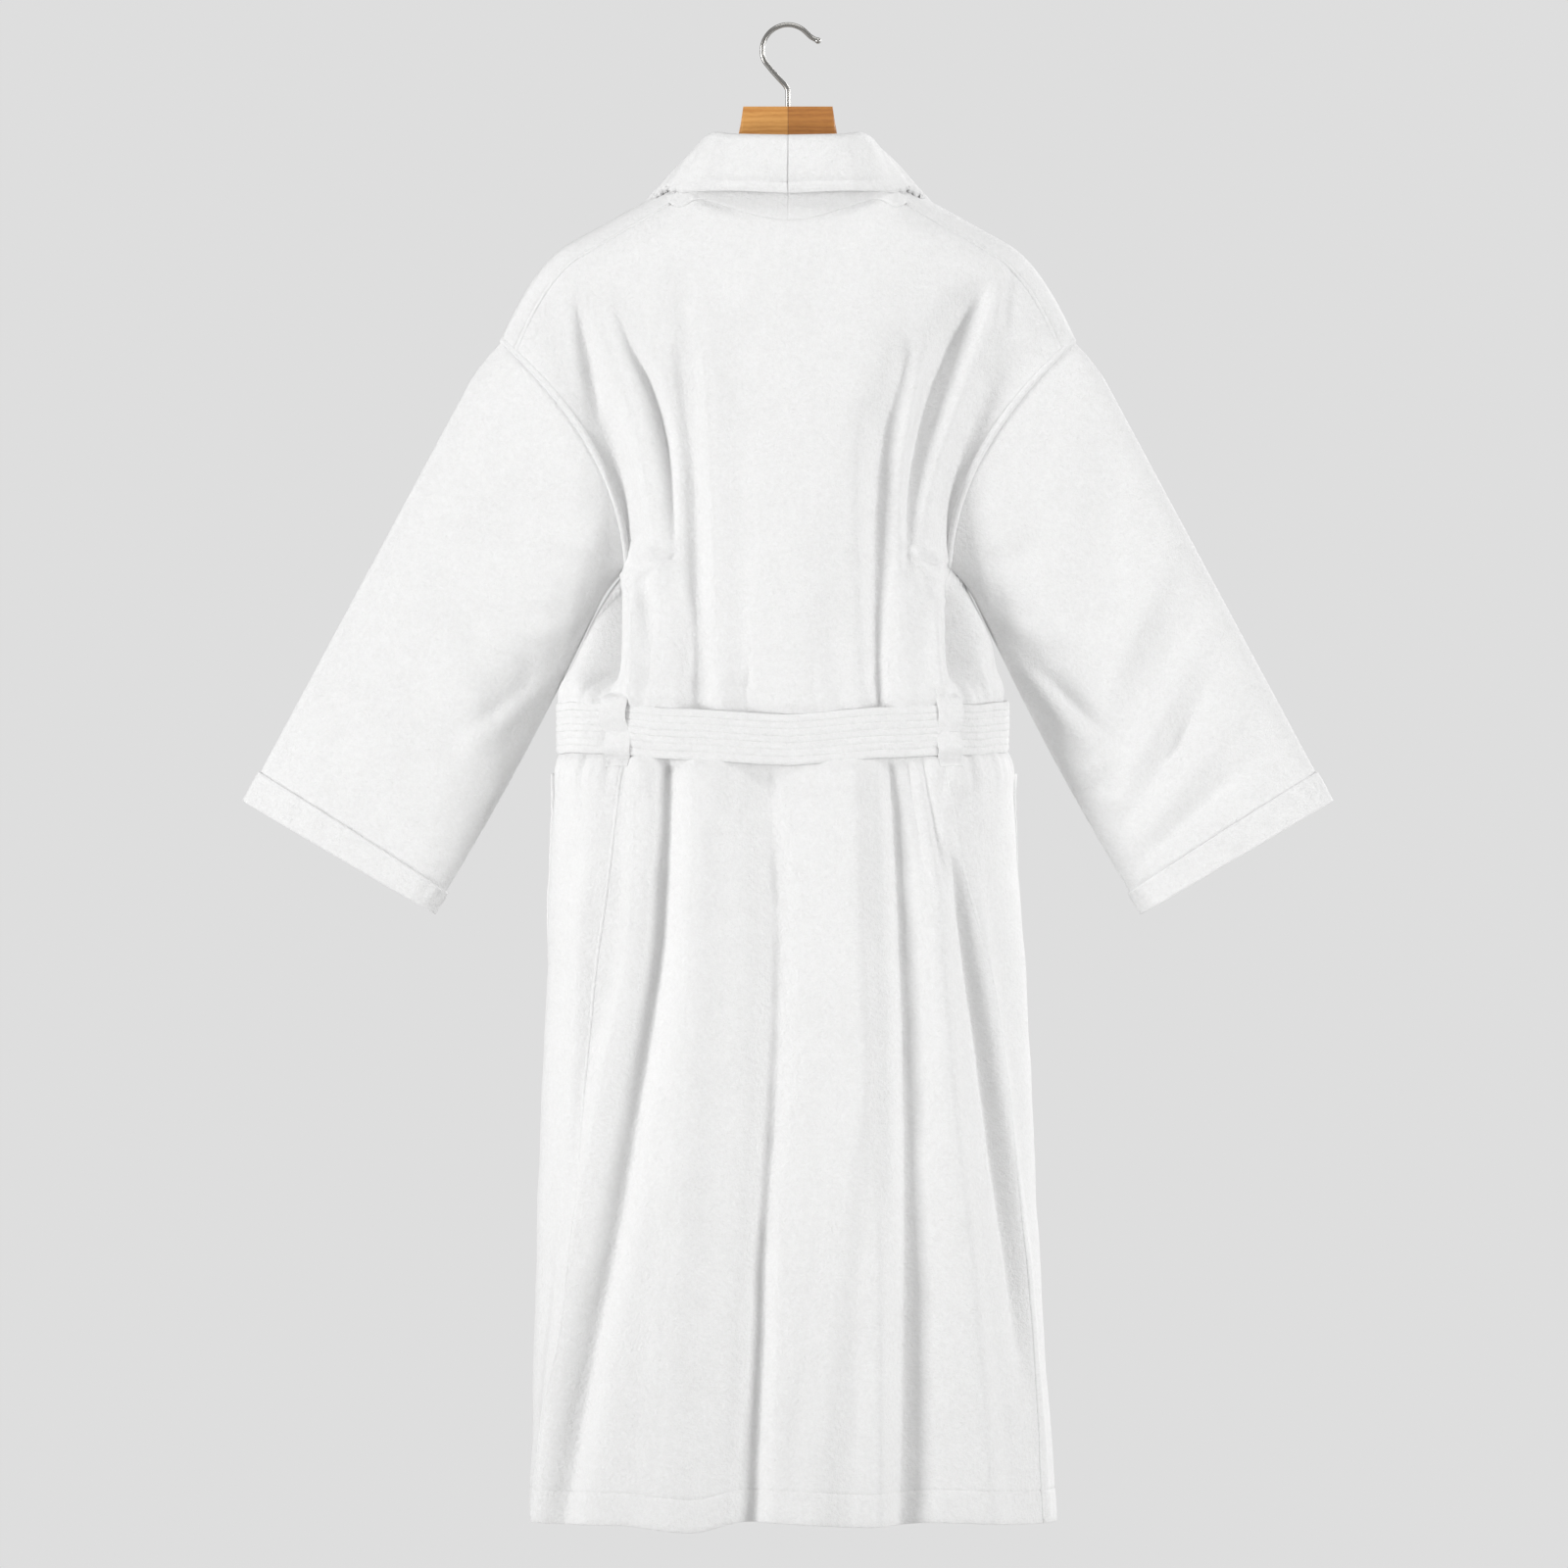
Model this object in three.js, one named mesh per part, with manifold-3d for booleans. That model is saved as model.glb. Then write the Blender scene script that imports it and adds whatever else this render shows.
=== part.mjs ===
// A hotel bathrobe in white terry velour, hanging on its contoured wooden hanger. Millimetres, +Z up.
// The origin is the hook's seat: the point inside the bend that rests on a rail. The wearer faces +Y,
// so the back of the robe faces -Y, and the wearer's left is -X.
// Every piece of cloth is a thin sheet or tube, as it is cut and sewn. The cloth is drawn open, as it hangs.
import * as THREE from "three";
import { mergeVertices } from "three/addons/utils/BufferGeometryUtils.js";
import Module from "manifold-3d";

// ---- Driving sizes ----

// Where the robe hangs below the rail, and how long it is.
const railToNape = 175;
const robeLength = 1195;

// Drops down the side of the robe, below the shoulder point where the sleeve starts.
const napeToShoulderPoint = 110;
const armholeDrop = 207;
const waistDrop = 358;

// Half widths of the robe as it hangs, seen from behind.
const shoulderHalf = 262;
const underarmHalf = 150;
const flankHalf = 178;
const waistHalf = 190;
const hipHalf = 212;
const hemHalf = 240;

// Half depths of the robe, from its middle to the back or the front.
const napeDepth = 46;
const chestDepth = 64;
const waistDepth = 72;
const hipDepth = 84;
const hemDepth = 104;

// The neck hole and the shoulder line.
const neckHalf = 112;
const napeSink = 24;
const shoulderSlope = 0.55;
const shoulderTurn = 200;
const shoulderRound = 40;

// Cloth and sewing. Pieces sewn edge to edge stop this gap apart.
const cloth = 4;
const seamGap = 1;
const shoulderSeamDrop = 11;
const lapelLayer = 17;
const plainLayer = 9.5;
const hemHeight = 30;
const turnedCloth = 2.4;
const turnGap = 1.2;
const frontOverlap = 60;

// Sleeves. A sleeve hangs from the shoulder point, turned out from straight down.
const sleeveAngle = 28.2;
const sleeveTop = 485;
const cuffAcross = 198;
const cuffSlant = 8;
const sleeveDepth = 27;
const cuffDepth = 23;
const cuffHeight = 30;
const cuffCloth = 6;
const cuffForward = 14;
const sleeveClearance = 7;

// Shawl collar: it stands from the neck seam, rolls over and falls outside.
const collarRise = 76;
const collarRollHalf = 72;
const collarFall = 55;
const collarReach = 133;
const collarSpread = 10;
const collarCloth = 4;
const collarLift = 8;
const lapelStand = 18;
const lapelWidth = 92;
const backRoll = 6;
const lapelRoll = 3.4;

// Belt, its two loops and its knot.
const beltHeight = 44;
const beltCloth = 5;
const beltClearance = 3.4;
const beltSag = 11;
const tailLength = 365;
const tailSpread = 30;
const knotWidth = 62;
const knotHeight = 46;
const knotDepth = 26;
const loopAcross = 13;
const loopHeight = 74;
const loopCloth = 2.6;

// Patch pockets.
const pocketHeight = 168;
const pocketBelowBelt = 22;
const pocketRoom = 22;
const pocketCloth = 3;

// Wooden hanger: two arms glued at the neck.
const hangerHalf = 221;
const hangerNeckHalf = 41;
const hangerTop = 73;
const hangerNeckHeight = 62;
const hangerNeckThick = 15;
const hangerTipThick = 27;
const hangerTipHeight = 19;
const shoulderSweep = 22;
const hangerGap = 6;
const gluedGap = 0.3;

// Steel hook and the nut under the hanger's neck.
const wire = 4.5;
const hookBendRadius = 23.6;
const hookReach = 60;
const hookTip = 5.8;
const hookHoleClearance = 0.4;
const nutWide = 11;
const nutHigh = 5;

// Hanging loop and blank label inside the nape.
const hangLoopWidth = 62;
const hangLoopRoom = 12;
const hangLoopTape = 8;
const hangLoopCloth = 1.8;
const labelWidth = 52;
const labelHeight = 34;
const labelCloth = 0.9;

// ---- Heights worked out from them ----

const nape = -railToNape;
const shoulderPoint = nape - napeToShoulderPoint;
const hem = nape - robeLength;
const sideLength = shoulderPoint - hem;
const waist = shoulderPoint - waistDrop;

// ---- Small tools ----

const point = (x, y, z) => new THREE.Vector3(x, y, z);
const mix = THREE.MathUtils.lerp;
const clamp = (t) => THREE.MathUtils.clamp(t, 0, 1);
const ease = (t) => clamp(t) * clamp(t) * (3 - 2 * clamp(t));

// A smooth line through [place, value] stops.
function through(stops) {
  const places = stops.map(([place]) => place);
  const values = stops.map(([, value]) => value);
  const line = new THREE.CubicInterpolant(places, values, 1);
  return (at) => line.evaluate(at)[0];
}

// A mirrored or wound-back body is turned so that its faces point out.
function facingOut(geometry) {
  const index = geometry.index.array;
  const at = geometry.attributes.position;
  const [a, b, c] = [point(), point(), point()];
  let volume = 0;
  for (let i = 0; i < index.length; i += 3) {
    a.fromBufferAttribute(at, index[i]);
    b.fromBufferAttribute(at, index[i + 1]);
    c.fromBufferAttribute(at, index[i + 2]);
    volume += a.dot(b.cross(c));
  }
  if (volume < 0) {
    for (let i = 0; i < index.length; i += 3) {
      [index[i + 1], index[i + 2]] = [index[i + 2], index[i + 1]];
    }
  }
  geometry.computeVertexNormals();
  return geometry;
}

// A slab of cells moved to where place(u, v, w) says: u and v run from 0 to 1, w from -1 to 1 through it.
function slab(cellsU, cellsV, cellsW, place) {
  const geometry = new THREE.BoxGeometry(1, 1, 2, cellsU, cellsV, cellsW);
  const at = geometry.attributes.position;
  for (let i = 0; i < at.count; i += 1) {
    const moved = place(at.getX(i) + 0.5, 0.5 - at.getY(i), at.getZ(i));
    at.setXYZ(i, moved.x, moved.y, moved.z);
  }
  return facingOut(geometry);
}

// The direction a surface(u, v) faces.
function facing(surface, u, v) {
  const step = 1e-3;
  const alongU = surface(u + step, v).sub(surface(u - step, v));
  const alongV = surface(u, v + step).sub(surface(u, v - step));
  return alongU.cross(alongV).normalize();
}

// The same surface moved along the way it faces.
const offset = (surface, distance) => (u, v) =>
  surface(u, v).addScaledVector(facing(surface, u, v), distance);

// Part of a surface, between two places along u and two along v.
const partOf = (surface, [fromU, toU], [fromV, toV]) => (u, v) =>
  surface(mix(fromU, toU, u), mix(fromV, toV, v));

// A sheet of cloth of one thickness, laid on a surface.
function sheet(cellsU, cellsV, thickness, surface) {
  return slab(cellsU, cellsV, 1, (u, v, w) => offset(surface, (w * thickness) / 2)(u, v));
}

// A tube of cloth, open at both ends. place(angle, along, wall) has wall -1 inside and 1 outside.
function tube(cellsRound, cellsAlong, place) {
  const inner = 1;
  const outer = 2;
  const profile = [];
  for (let i = 0; i <= cellsAlong; i += 1) profile.push(new THREE.Vector2(outer, i / cellsAlong));
  for (let i = cellsAlong; i >= 0; i -= 1) profile.push(new THREE.Vector2(inner, i / cellsAlong));
  profile.push(profile[0].clone());
  const geometry = new THREE.LatheGeometry(profile, cellsRound);
  const at = geometry.attributes.position;
  for (let i = 0; i < at.count; i += 1) {
    const angle = Math.atan2(at.getX(i), at.getZ(i));
    const wall = Math.round(Math.hypot(at.getX(i), at.getZ(i))) === outer ? 1 : -1;
    const moved = place(angle, at.getY(i), wall);
    at.setXYZ(i, moved.x, moved.y, moved.z);
  }
  return facingOut(geometry);
}

// ---- Joining and cutting ----

const wasm = await Module();
wasm.setup();

function solid(geometry) {
  const bare = geometry.clone();
  bare.deleteAttribute("normal");
  bare.deleteAttribute("uv");
  const merged = mergeVertices(bare, 1e-3);
  const vertProperties = new Float32Array(merged.attributes.position.array);
  const triVerts = new Uint32Array(merged.index.array);
  return new wasm.Manifold(new wasm.Mesh({ numProp: 3, vertProperties, triVerts }));
}

function geometryOf(made) {
  const mesh = made.getMesh();
  const geometry = new THREE.BufferGeometry();
  geometry.setAttribute("position", new THREE.BufferAttribute(mesh.vertProperties, 3));
  geometry.setIndex(new THREE.BufferAttribute(mesh.triVerts, 1));
  geometry.computeVertexNormals();
  return geometry;
}

// ---- Materials ----

const finish = (color, roughness, metalness) =>
  new THREE.MeshStandardMaterial({ color, roughness, metalness });
const velour = finish("#f4f4f3", 0.95, 0);
const tape = finish("#f1f1f0", 0.85, 0);
const beech = finish("#c27d22", 0.4, 0);
const steel = finish("#b9b7b0", 0.25, 1);

function named(name, geometry, material) {
  const mesh = new THREE.Mesh(geometry, material);
  mesh.name = name;
  return mesh;
}

// ---- The shape of the robe's body ----

const quarter = Math.PI / 2;
const neckPoint = nape + napeSink;

// The neckline and the shoulder line, as a height for a place across the shoulders.
function topLine(x) {
  const out = Math.abs(x);
  if (out < neckHalf) return mix(nape, neckPoint, ease(out / neckHalf));
  const sloped = neckPoint - shoulderSlope * (out - neckHalf);
  const straight = neckPoint - shoulderSlope * (shoulderHalf - neckHalf);
  const past = clamp((out - shoulderTurn) / (shoulderHalf - shoulderTurn));
  return sloped - (straight - shoulderPoint) * past * past;
}

const sideHalf = through([
  [armholeDrop, underarmHalf],
  [armholeDrop + 62, flankHalf],
  [waistDrop, waistHalf],
  [waistDrop + 90, hipHalf],
  [sideLength, hemHalf],
]);
function halfWidth(drop) {
  if (drop > armholeDrop) return sideHalf(drop);
  return underarmHalf + (shoulderHalf - underarmHalf) * (1 - drop / armholeDrop) ** 2;
}

const halfDepth = through([
  [0, napeDepth],
  [armholeDrop, chestDepth],
  [waistDrop, waistDepth],
  [waistDrop + 90, hipDepth],
  [sideLength, hemDepth],
]);

// Rows of cloth follow the shoulders at the top and are level from the underarm down.
function height(across, drop) {
  const lift = topLine(across * shoulderHalf) - shoulderPoint;
  return shoulderPoint - drop + lift * (1 - ease(drop / armholeDrop));
}

// How far the cloth stands from the robe's middle plane. It closes on the shoulders and at the sides,
// and stays open round the neck and at the armholes.
function bodyDepth(across, drop) {
  const out = Math.min(Math.abs(across), 1);
  const round = Math.sqrt(1 - out ** 3);
  const below = clamp((topLine(across * shoulderHalf) - height(across, drop)) / shoulderRound);
  const crest = Math.sqrt(1 - (1 - below) ** 2);
  const neck = Math.sqrt(Math.max(1 - ((out * shoulderHalf) / neckHalf) ** 2, 0));
  const armhole = Math.sin(Math.PI * clamp(drop / armholeDrop)) ** 0.6 * sleeveDepth;
  return Math.max(halfDepth(drop) * round * (crest + (1 - crest) * neck), armhole * out ** 6);
}

// The shoulders sweep forward with the hanger's arms.
const sweep = (across, drop) =>
  shoulderSweep * Math.min(Math.abs(across), 1) ** 2 * (1 - ease(drop / waistDrop));

// A point of the body. The turn runs from 0 at the middle of the back, a quarter at the side, to a half
// at the middle of the front. side is -1 to the wearer's left and 1 to the right.
function bodyPoint(side, turn, drop, inside = 0) {
  const across = Math.sin(turn);
  const toFront = Math.cos(turn) < 0 ? 1 : -1;
  const y = sweep(across, drop) + toFront * Math.max(bodyDepth(across, drop) - inside, 0);
  return point(side * across * halfWidth(drop), y, height(across, drop));
}

// The side seam runs down the back of the robe, because the fronts are cut wider than the back.
const sideSeamDegrees = through([
  [armholeDrop, 90],
  [armholeDrop + 32, 64],
  [armholeDrop + 75, 54],
  [waistDrop, 50],
  [waistDrop + 160, 51],
  [mix(waistDrop, sideLength, 0.55), 58],
  [sideLength, 72],
]);
const sideSeam = (drop) =>
  drop < armholeDrop ? quarter : THREE.MathUtils.degToRad(sideSeamDegrees(drop));
const seamTurn = (seamGap * 2) / chestDepth;

// Rows crowd together at the shoulders, and one of them runs through the underarm. A drop below zero
// lies on the far side of the shoulder line.
const panelRows = 24;
const underarmShare = 10 / panelRows;
const root = (drop) => Math.sign(drop) * Math.sqrt(Math.abs(drop));
function rowDrop(from, share) {
  const below = (share - underarmShare) / (1 - underarmShare);
  const made =
    below < 0
      ? mix(root(from), root(armholeDrop), share / underarmShare)
      : mix(root(armholeDrop), root(sideLength), below);
  return made * Math.abs(made);
}
const rowShare = (drop) =>
  mix(
    underarmShare,
    1,
    (root(drop) - root(armholeDrop)) / (root(sideLength) - root(armholeDrop)),
  );

// ---- Back panel ----

const backColumns = 22;
const neckColumns = 3 / (backColumns / 2);
const neckTurn = Math.asin(neckHalf / shoulderHalf);

// The panel's top edge: the neckline, then the shoulder seam a little below the shoulder line.
const backTop = (turn) =>
  (shoulderSeamDrop + seamGap) * ease((Math.abs(turn) / neckTurn - 0.68) / 0.3);

function backSurface(u, v) {
  const out = Math.abs(u * 2 - 1);
  const turn =
    out < neckColumns
      ? (neckTurn * out) / neckColumns
      : mix(neckTurn, quarter, (out - neckColumns) / (1 - neckColumns));
  const drop = rowDrop(backTop(turn), v);
  const narrowed = turn * (sideSeam(drop) / quarter - seamTurn / 2 / quarter);
  return bodyPoint(Math.sign(u * 2 - 1) || 1, narrowed, drop);
}

// Its hem is turned up once inside.
const hemMargin = 1 / backColumns;
const turnedInset = (cloth + turnedCloth) / 2 + turnGap;
const hemTop = rowShare(sideLength - hemHeight);
const backHemSurface = offset(
  partOf(backSurface, [hemMargin, 1 - hemMargin], [hemTop, 0.9995]),
  turnedInset,
);

// ---- Front panels: the wearer's left laps over the right ----

const frontColumns = 14;

// The front edge runs in a V from the neck to the overlap above the belt and then hangs straight.
const frontEdge = (drop) =>
  mix(-neckHalf, frontOverlap, clamp(Math.max(drop, 0) / (waistDrop - beltHeight)));

// The right front lies inside the left one, deepest where its lapel folds between them. The lapels stop
// above the belt.
const lapelEnd = waistDrop - beltHeight / 2 - 36;
const layerBelow = (drop) =>
  mix(lapelLayer * ease(drop / armholeDrop / 0.75), plainLayer, ease((drop - lapelEnd) / 40));
function frontInside(side, turn, drop) {
  if (side < 0) return 0;
  return layerBelow(Math.max(drop, 0)) * ease((turn / quarter - 1.12) / 0.4);
}

// A signed drop below zero is the strip that laps over the shoulder to the seam behind it.
function frontPoint(side, turn, drop) {
  const behind = drop < 0 && turn > quarter;
  const made = bodyPoint(side, behind ? 2 * quarter - turn : turn, Math.abs(drop), 0);
  made.y -= drop < 0 ? 0 : frontInside(side, turn, drop);
  return made;
}

const frontTurn = (drop) =>
  drop < 0
    ? 2 * quarter - neckTurn
    : 2 * quarter + Math.asin(frontEdge(drop) / halfWidth(drop));

const frontSurface = (side) => (u, v) => {
  const drop = rowDrop(-shoulderSeamDrop, v);
  const from = sideSeam(drop) + seamTurn / 2;
  return frontPoint(side, mix(from, frontTurn(drop), u), drop);
};

function frontPieces(side) {
  const surface = frontSurface(side);
  const inside = side * turnedInset;
  const column = 1 / frontColumns;
  const hemRow = rowShare(sideLength - hemHeight);
  const facingRow = rowShare(waistDrop + beltHeight);
  const facingColumns = [1 - 2 * column + 0.004, 1];
  const hemColumns = [column, 1 - 2 * column - 0.004];
  return {
    panel: sheet(frontColumns, panelRows, cloth, surface),
    turned: sheet(
      frontColumns - 3,
      1,
      turnedCloth,
      offset(partOf(surface, hemColumns, [hemRow, 0.9995]), inside),
    ),
    strip: sheet(
      2,
      14,
      turnedCloth,
      offset(partOf(surface, facingColumns, [facingRow, 0.9995]), inside),
    ),
  };
}

// ---- Shawl collar: one half, from the seam at the centre back down to the belt ----

// The edge the collar is sewn to: the back neckline, over the shoulder, and down the front edge.
const backShare = 0.36;
const rimDrop = (share) =>
  mix(-shoulderSeamDrop, lapelEnd, ((share - backShare) / (1 - backShare)) ** 1.25);
function rim(side, share) {
  const gap = seamGap + 2.2;
  if (share < backShare) {
    const turn = neckTurn * Math.sin((quarter * share) / backShare);
    const made = bodyPoint(side, Math.max(turn, 1e-3), backTop(turn));
    return made.add(point(-side * gap * 0.5 * (share / backShare), 0, gap));
  }
  const drop = rimDrop(share);
  const made = frontPoint(side, frontTurn(drop), drop);
  const front = ease((share - backShare) * 6);
  return made.add(point(-side * mix(gap * 0.5, gap, front), 0, mix(gap, gap * 0.3, front)));
}

// A place standing off the outside of a front panel, given by its width and its drop.
function outside(side, x, drop, stand) {
  const ground = (u, v) => {
    const turn = 2 * quarter - Math.asin(clamp(x / halfWidth(Math.abs(drop)))) + u;
    return frontPoint(side, turn, drop + v);
  };
  const out = facing(ground, 0, 0);
  const made = x < 0 ? frontPoint(side, 2 * quarter + Math.asin(-x / halfWidth(drop)), drop) : ground(0, 0);
  return made.addScaledVector(x < 0 ? point(0, 1, 0) : out.multiplyScalar(-side), cloth / 2 + stand);
}

// How far forward the outside of a front panel is at a place in the front.
function faceOfFront(side, x, z) {
  const out = x * side;
  if (z > topLine(out)) return -Infinity;
  let drop = shoulderPoint - z;
  for (let i = 0; i < 40; i += 1) {
    const across = Math.min(Math.abs(out) / halfWidth(Math.max(drop, 0)), 1);
    drop += (height(across, drop) - z) / 2;
  }
  const own = Math.asin(THREE.MathUtils.clamp(out / halfWidth(Math.max(drop, 0)), -1, 1));
  return frontPoint(side, 2 * quarter - own, Math.max(drop, 0)).y + cloth / 2;
}

// The roll line and the free edge, each with places that match a share of the way along the rim.
function collarLines(side) {
  const rollTop = nape + collarRise;
  const back = napeDepth;
  const behind = back + backRoll * 2 + collarSpread;
  const fall = rollTop - collarFall;
  const stand = lapelRoll * 2 + collarCloth / 2 + 0.8;
  const stops = [
    [0, [0, -back - 2, rollTop], [0, -behind, fall]],
    [0.12, [collarRollHalf * 0.5, -back * 0.9, rollTop], [collarReach * 0.42, -behind * 0.97, fall + 3]],
    [0.24, [collarRollHalf * 0.87, -back * 0.56, rollTop - 1], [collarReach * 0.76, -behind * 0.7, fall + 11]],
    [0.36, [collarRollHalf, -2, rollTop - 8], [collarReach, -10, neckPoint - 2]],
    [0.46, [collarRollHalf, back * 0.75, rollTop - 34]],
  ].map(([share, ...places]) => [
    share,
    ...places.map(([x, y, z]) => point(side * (x + seamGap * 1.7), y, z)),
  ]);
  stops[4].push(outside(side, collarReach + 13, 22, stand + 2.5));
  for (const share of [0.58, 0.7, 0.82, 0.92, 1]) {
    const drop = rimDrop(share);
    const x = -frontEdge(drop);
    const slant = 0.5 * (1 - ease((share - 0.7) / 0.3));
    const width = lapelWidth * mix(0.9, 1, ease(share * 2 - 1));
    const roll = outside(side, x - lapelStand, drop, lapelRoll);
    const down = width * slant;
    const free = outside(side, x - lapelStand + width * Math.sqrt(1 - slant ** 2), drop + down, stand);
    stops.push([share, roll, free]);
  }
  return [1, 2].map((which) => {
    const lines = ["x", "y", "z"].map((axis) =>
      through(stops.map((stop) => [stop[0], stop[which][axis]])),
    );
    return (share) => point(...lines.map((line) => line(share)));
  });
}

// Across the collar: up the stand, round the roll, and down the fall to the free edge.
function collarHalf(side) {
  const [rollLine, freeLine] = collarLines(side);
  const standEnd = 0.36;
  const fallStart = 0.64;
  return sheet(11, 22, collarCloth, (u, v) => {
    const share = clamp(v);
    const radius = mix(backRoll, lapelRoll, ease((share - 0.3) / 0.3));
    const [seam, roll, free] = [rim(side, share), rollLine(share), freeLine(share)];
    if (share < 1e-6) seam.x = side * seamGap * 1.7;
    const up = roll.clone().sub(seam).normalize();
    const outward = free.clone().sub(seam);
    outward.addScaledVector(up, -outward.dot(up)).normalize();
    const middle = roll.clone().addScaledVector(up, -radius);
    const turned = (angle) =>
      middle
        .clone()
        .addScaledVector(outward, radius * (1 - Math.cos(angle)))
        .addScaledVector(up, radius * Math.sin(angle));
    if (u < standEnd) return seam.lerp(turned(0), u / standEnd);
    if (u > fallStart) {
      const made = turned(Math.PI).lerp(free, (u - fallStart) / (1 - fallStart));
      made.y = Math.max(made.y, faceOfFront(side, made.x, made.z) + collarCloth / 2 + collarLift);
      return made;
    }
    return turned((Math.PI * (u - standEnd)) / (fallStart - standEnd));
  });
}

// ---- Sleeve: a slanted tube from the armhole to the cuff, drawn about the shoulder point ----

// Angles round the tube are 0 under the arm and half a turn at the top edge; along runs from one end to the other.
function sleevePlace(side, wallThick, from, to, stand) {
  const angle = THREE.MathUtils.degToRad(sleeveAngle);
  const down = point(Math.sin(angle), 0, -Math.cos(angle));
  const across = point(-Math.cos(angle), 0, -Math.sin(angle));
  const armhole = (place) => {
    const drop = armholeDrop * place;
    return point(halfWidth(drop) - shoulderHalf, sweep(1, drop), -drop);
  };
  const cuff = (place) =>
    down
      .clone()
      .multiplyScalar(sleeveTop + cuffSlant * place)
      .addScaledVector(across, cuffAcross * place)
      .setY(cuffForward);
  return (round, along, wall) => {
    const share = mix(from, to, along);
    const bulk = stand + ((wall - 1) * wallThick) / 2;
    const flat = 0.82;
    const [cosine, sine] = [Math.cos(round), Math.sin(round)];
    const away = Math.sign(cosine) * Math.abs(cosine) ** flat;
    const place = (1 + away) / 2;
    const made = armhole(place).lerp(cuff(place), share);
    const inward = armhole(1).lerp(cuff(1), share).sub(armhole(0).lerp(cuff(0), share)).normalize();
    made.addScaledVector(inward, away * bulk);
    const deep = mix(sleeveDepth, cuffDepth, share) + bulk;
    made.y += Math.sign(sine) * Math.abs(sine) ** flat * deep;
    made.x *= side;
    return made;
  };
}

function sleevePieces(side) {
  const cuffShare = 1 - cuffHeight / sleeveTop;
  const seamShare = seamGap / 2 / sleeveTop;
  return {
    sleeve: tube(20, 10, sleevePlace(side, cloth, 0, cuffShare - seamShare, 0)),
    cuff: tube(20, 1, sleevePlace(side, cuffCloth, cuffShare + seamShare, 1, 1)),
  };
}

// ---- Belt, belt loops, knot and tails ----

// A line round the waist outside the cloth, standing off by the given distance. It sags at the back.
function beltLine(round, off, lift) {
  const across = Math.sign(Math.cos(round)) * Math.abs(Math.cos(round)) ** 0.7;
  const along = Math.sign(Math.sin(round)) * Math.sqrt(Math.max(1 - Math.abs(across) ** 3, 0));
  const sag = beltSag * (1 - Math.abs(across)) * (0.65 - 0.35 * Math.sin(round));
  const drop = waistDrop - lift + sag;
  const [wide, deep] = [halfWidth(drop), halfDepth(drop)];
  const out = point(across / wide, along / deep, 0).normalize();
  const made = point(across * wide, along * deep, shoulderPoint - drop);
  return made.addScaledVector(out, cloth / 2 + off);
}

const belt = tube(52, 1, (angle, along, wall) =>
  beltLine(angle, beltClearance + ((wall + 1) * beltCloth) / 2, (along - 0.5) * beltHeight),
);

const beltFront = waistDepth + cloth / 2 + beltClearance + beltCloth;
const knotMiddle = point(0, beltFront + knotDepth / 2 + 1, waist - beltSag * 0.3);

function knotShape() {
  const shape = new THREE.SphereGeometry(0.5, 14, 10);
  shape.scale(knotWidth, knotDepth, knotHeight);
  return shape;
}

// A belt loop stands off the side seam, sewn above and below the belt.
function beltLoop(side) {
  const halfTurn = loopAcross / 2 / waistHalf / Math.cos(sideSeam(waistDrop));
  const room = beltClearance + beltCloth + 2.4;
  const base = (u, v) => {
    const drop = waistDrop - mix(loopHeight / 2, -loopHeight / 2, v);
    return bodyPoint(side, sideSeam(waistDrop) + mix(-halfTurn, halfTurn, u) * side, drop);
  };
  return sheet(2, 12, loopCloth, (u, v) => {
    const bow = Math.max(Math.sin(Math.PI * clamp(v)), 0) ** 0.42;
    const made = base(u, v);
    const out = facing(base, 0.5, clamp(v));
    return made.addScaledVector(out, -cloth / 2 - loopCloth / 2 - 1 - room * bow);
  });
}

// A belt tail hangs from the knot and rests on the front of the robe, which widens below the waist.
const beltTail = sheet(2, 8, beltCloth, (u, v) => {
  const drop = waistDrop + knotHeight / 2 + v * tailLength;
  return point(
    mix(-beltHeight / 2, beltHeight / 2, u),
    halfDepth(drop) - halfDepth(waistDrop),
    -v * tailLength,
  );
});

// ---- Patch pocket, sewn to the front at its sides and bottom and open at the top ----

function pocket(side) {
  const top = waistDrop + beltHeight / 2 + pocketBelowBelt;
  const rows = [top, top + pocketHeight].map(rowShare);
  const ground = partOf(frontSurface(side), [4 / frontColumns, 10 / frontColumns], rows);
  const stand = (cloth + pocketCloth) / 2 + 1.2;
  return sheet(6, 6, pocketCloth, (u, v) => {
    const arch = Math.max(4 * clamp(u) * (1 - clamp(u)), 0) ** 0.7;
    const room = pocketRoom * arch * (1 - clamp(v) ** 3);
    return offset(ground, -side * (stand + room))(u, v);
  });
}

// ---- Hanging loop and label, sewn inside the nape ----

const insideNape = (x, drop) =>
  bodyPoint(Math.sign(x) || 1, Math.asin(Math.abs(x) / shoulderHalf), drop, cloth / 2);

const hangLoop = sheet(10, 1, hangLoopCloth, (u, v) => {
  const made = insideNape(mix(-hangLoopWidth / 2, hangLoopWidth / 2, u), 4 + hangLoopTape * v);
  const bow = Math.max(Math.sin(Math.PI * clamp(u)), 0) ** 0.5;
  made.y += hangLoopCloth / 2 + 0.8 + hangLoopRoom * bow;
  return made;
});

const label = sheet(4, 2, labelCloth, (u, v) => {
  const x = mix(-labelWidth / 2, labelWidth / 2, u);
  const made = insideNape(x, 20 + hangLoopTape + labelHeight * v);
  made.y += labelCloth / 2 + 1;
  return made;
});

// ---- Wooden hanger ----

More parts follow.
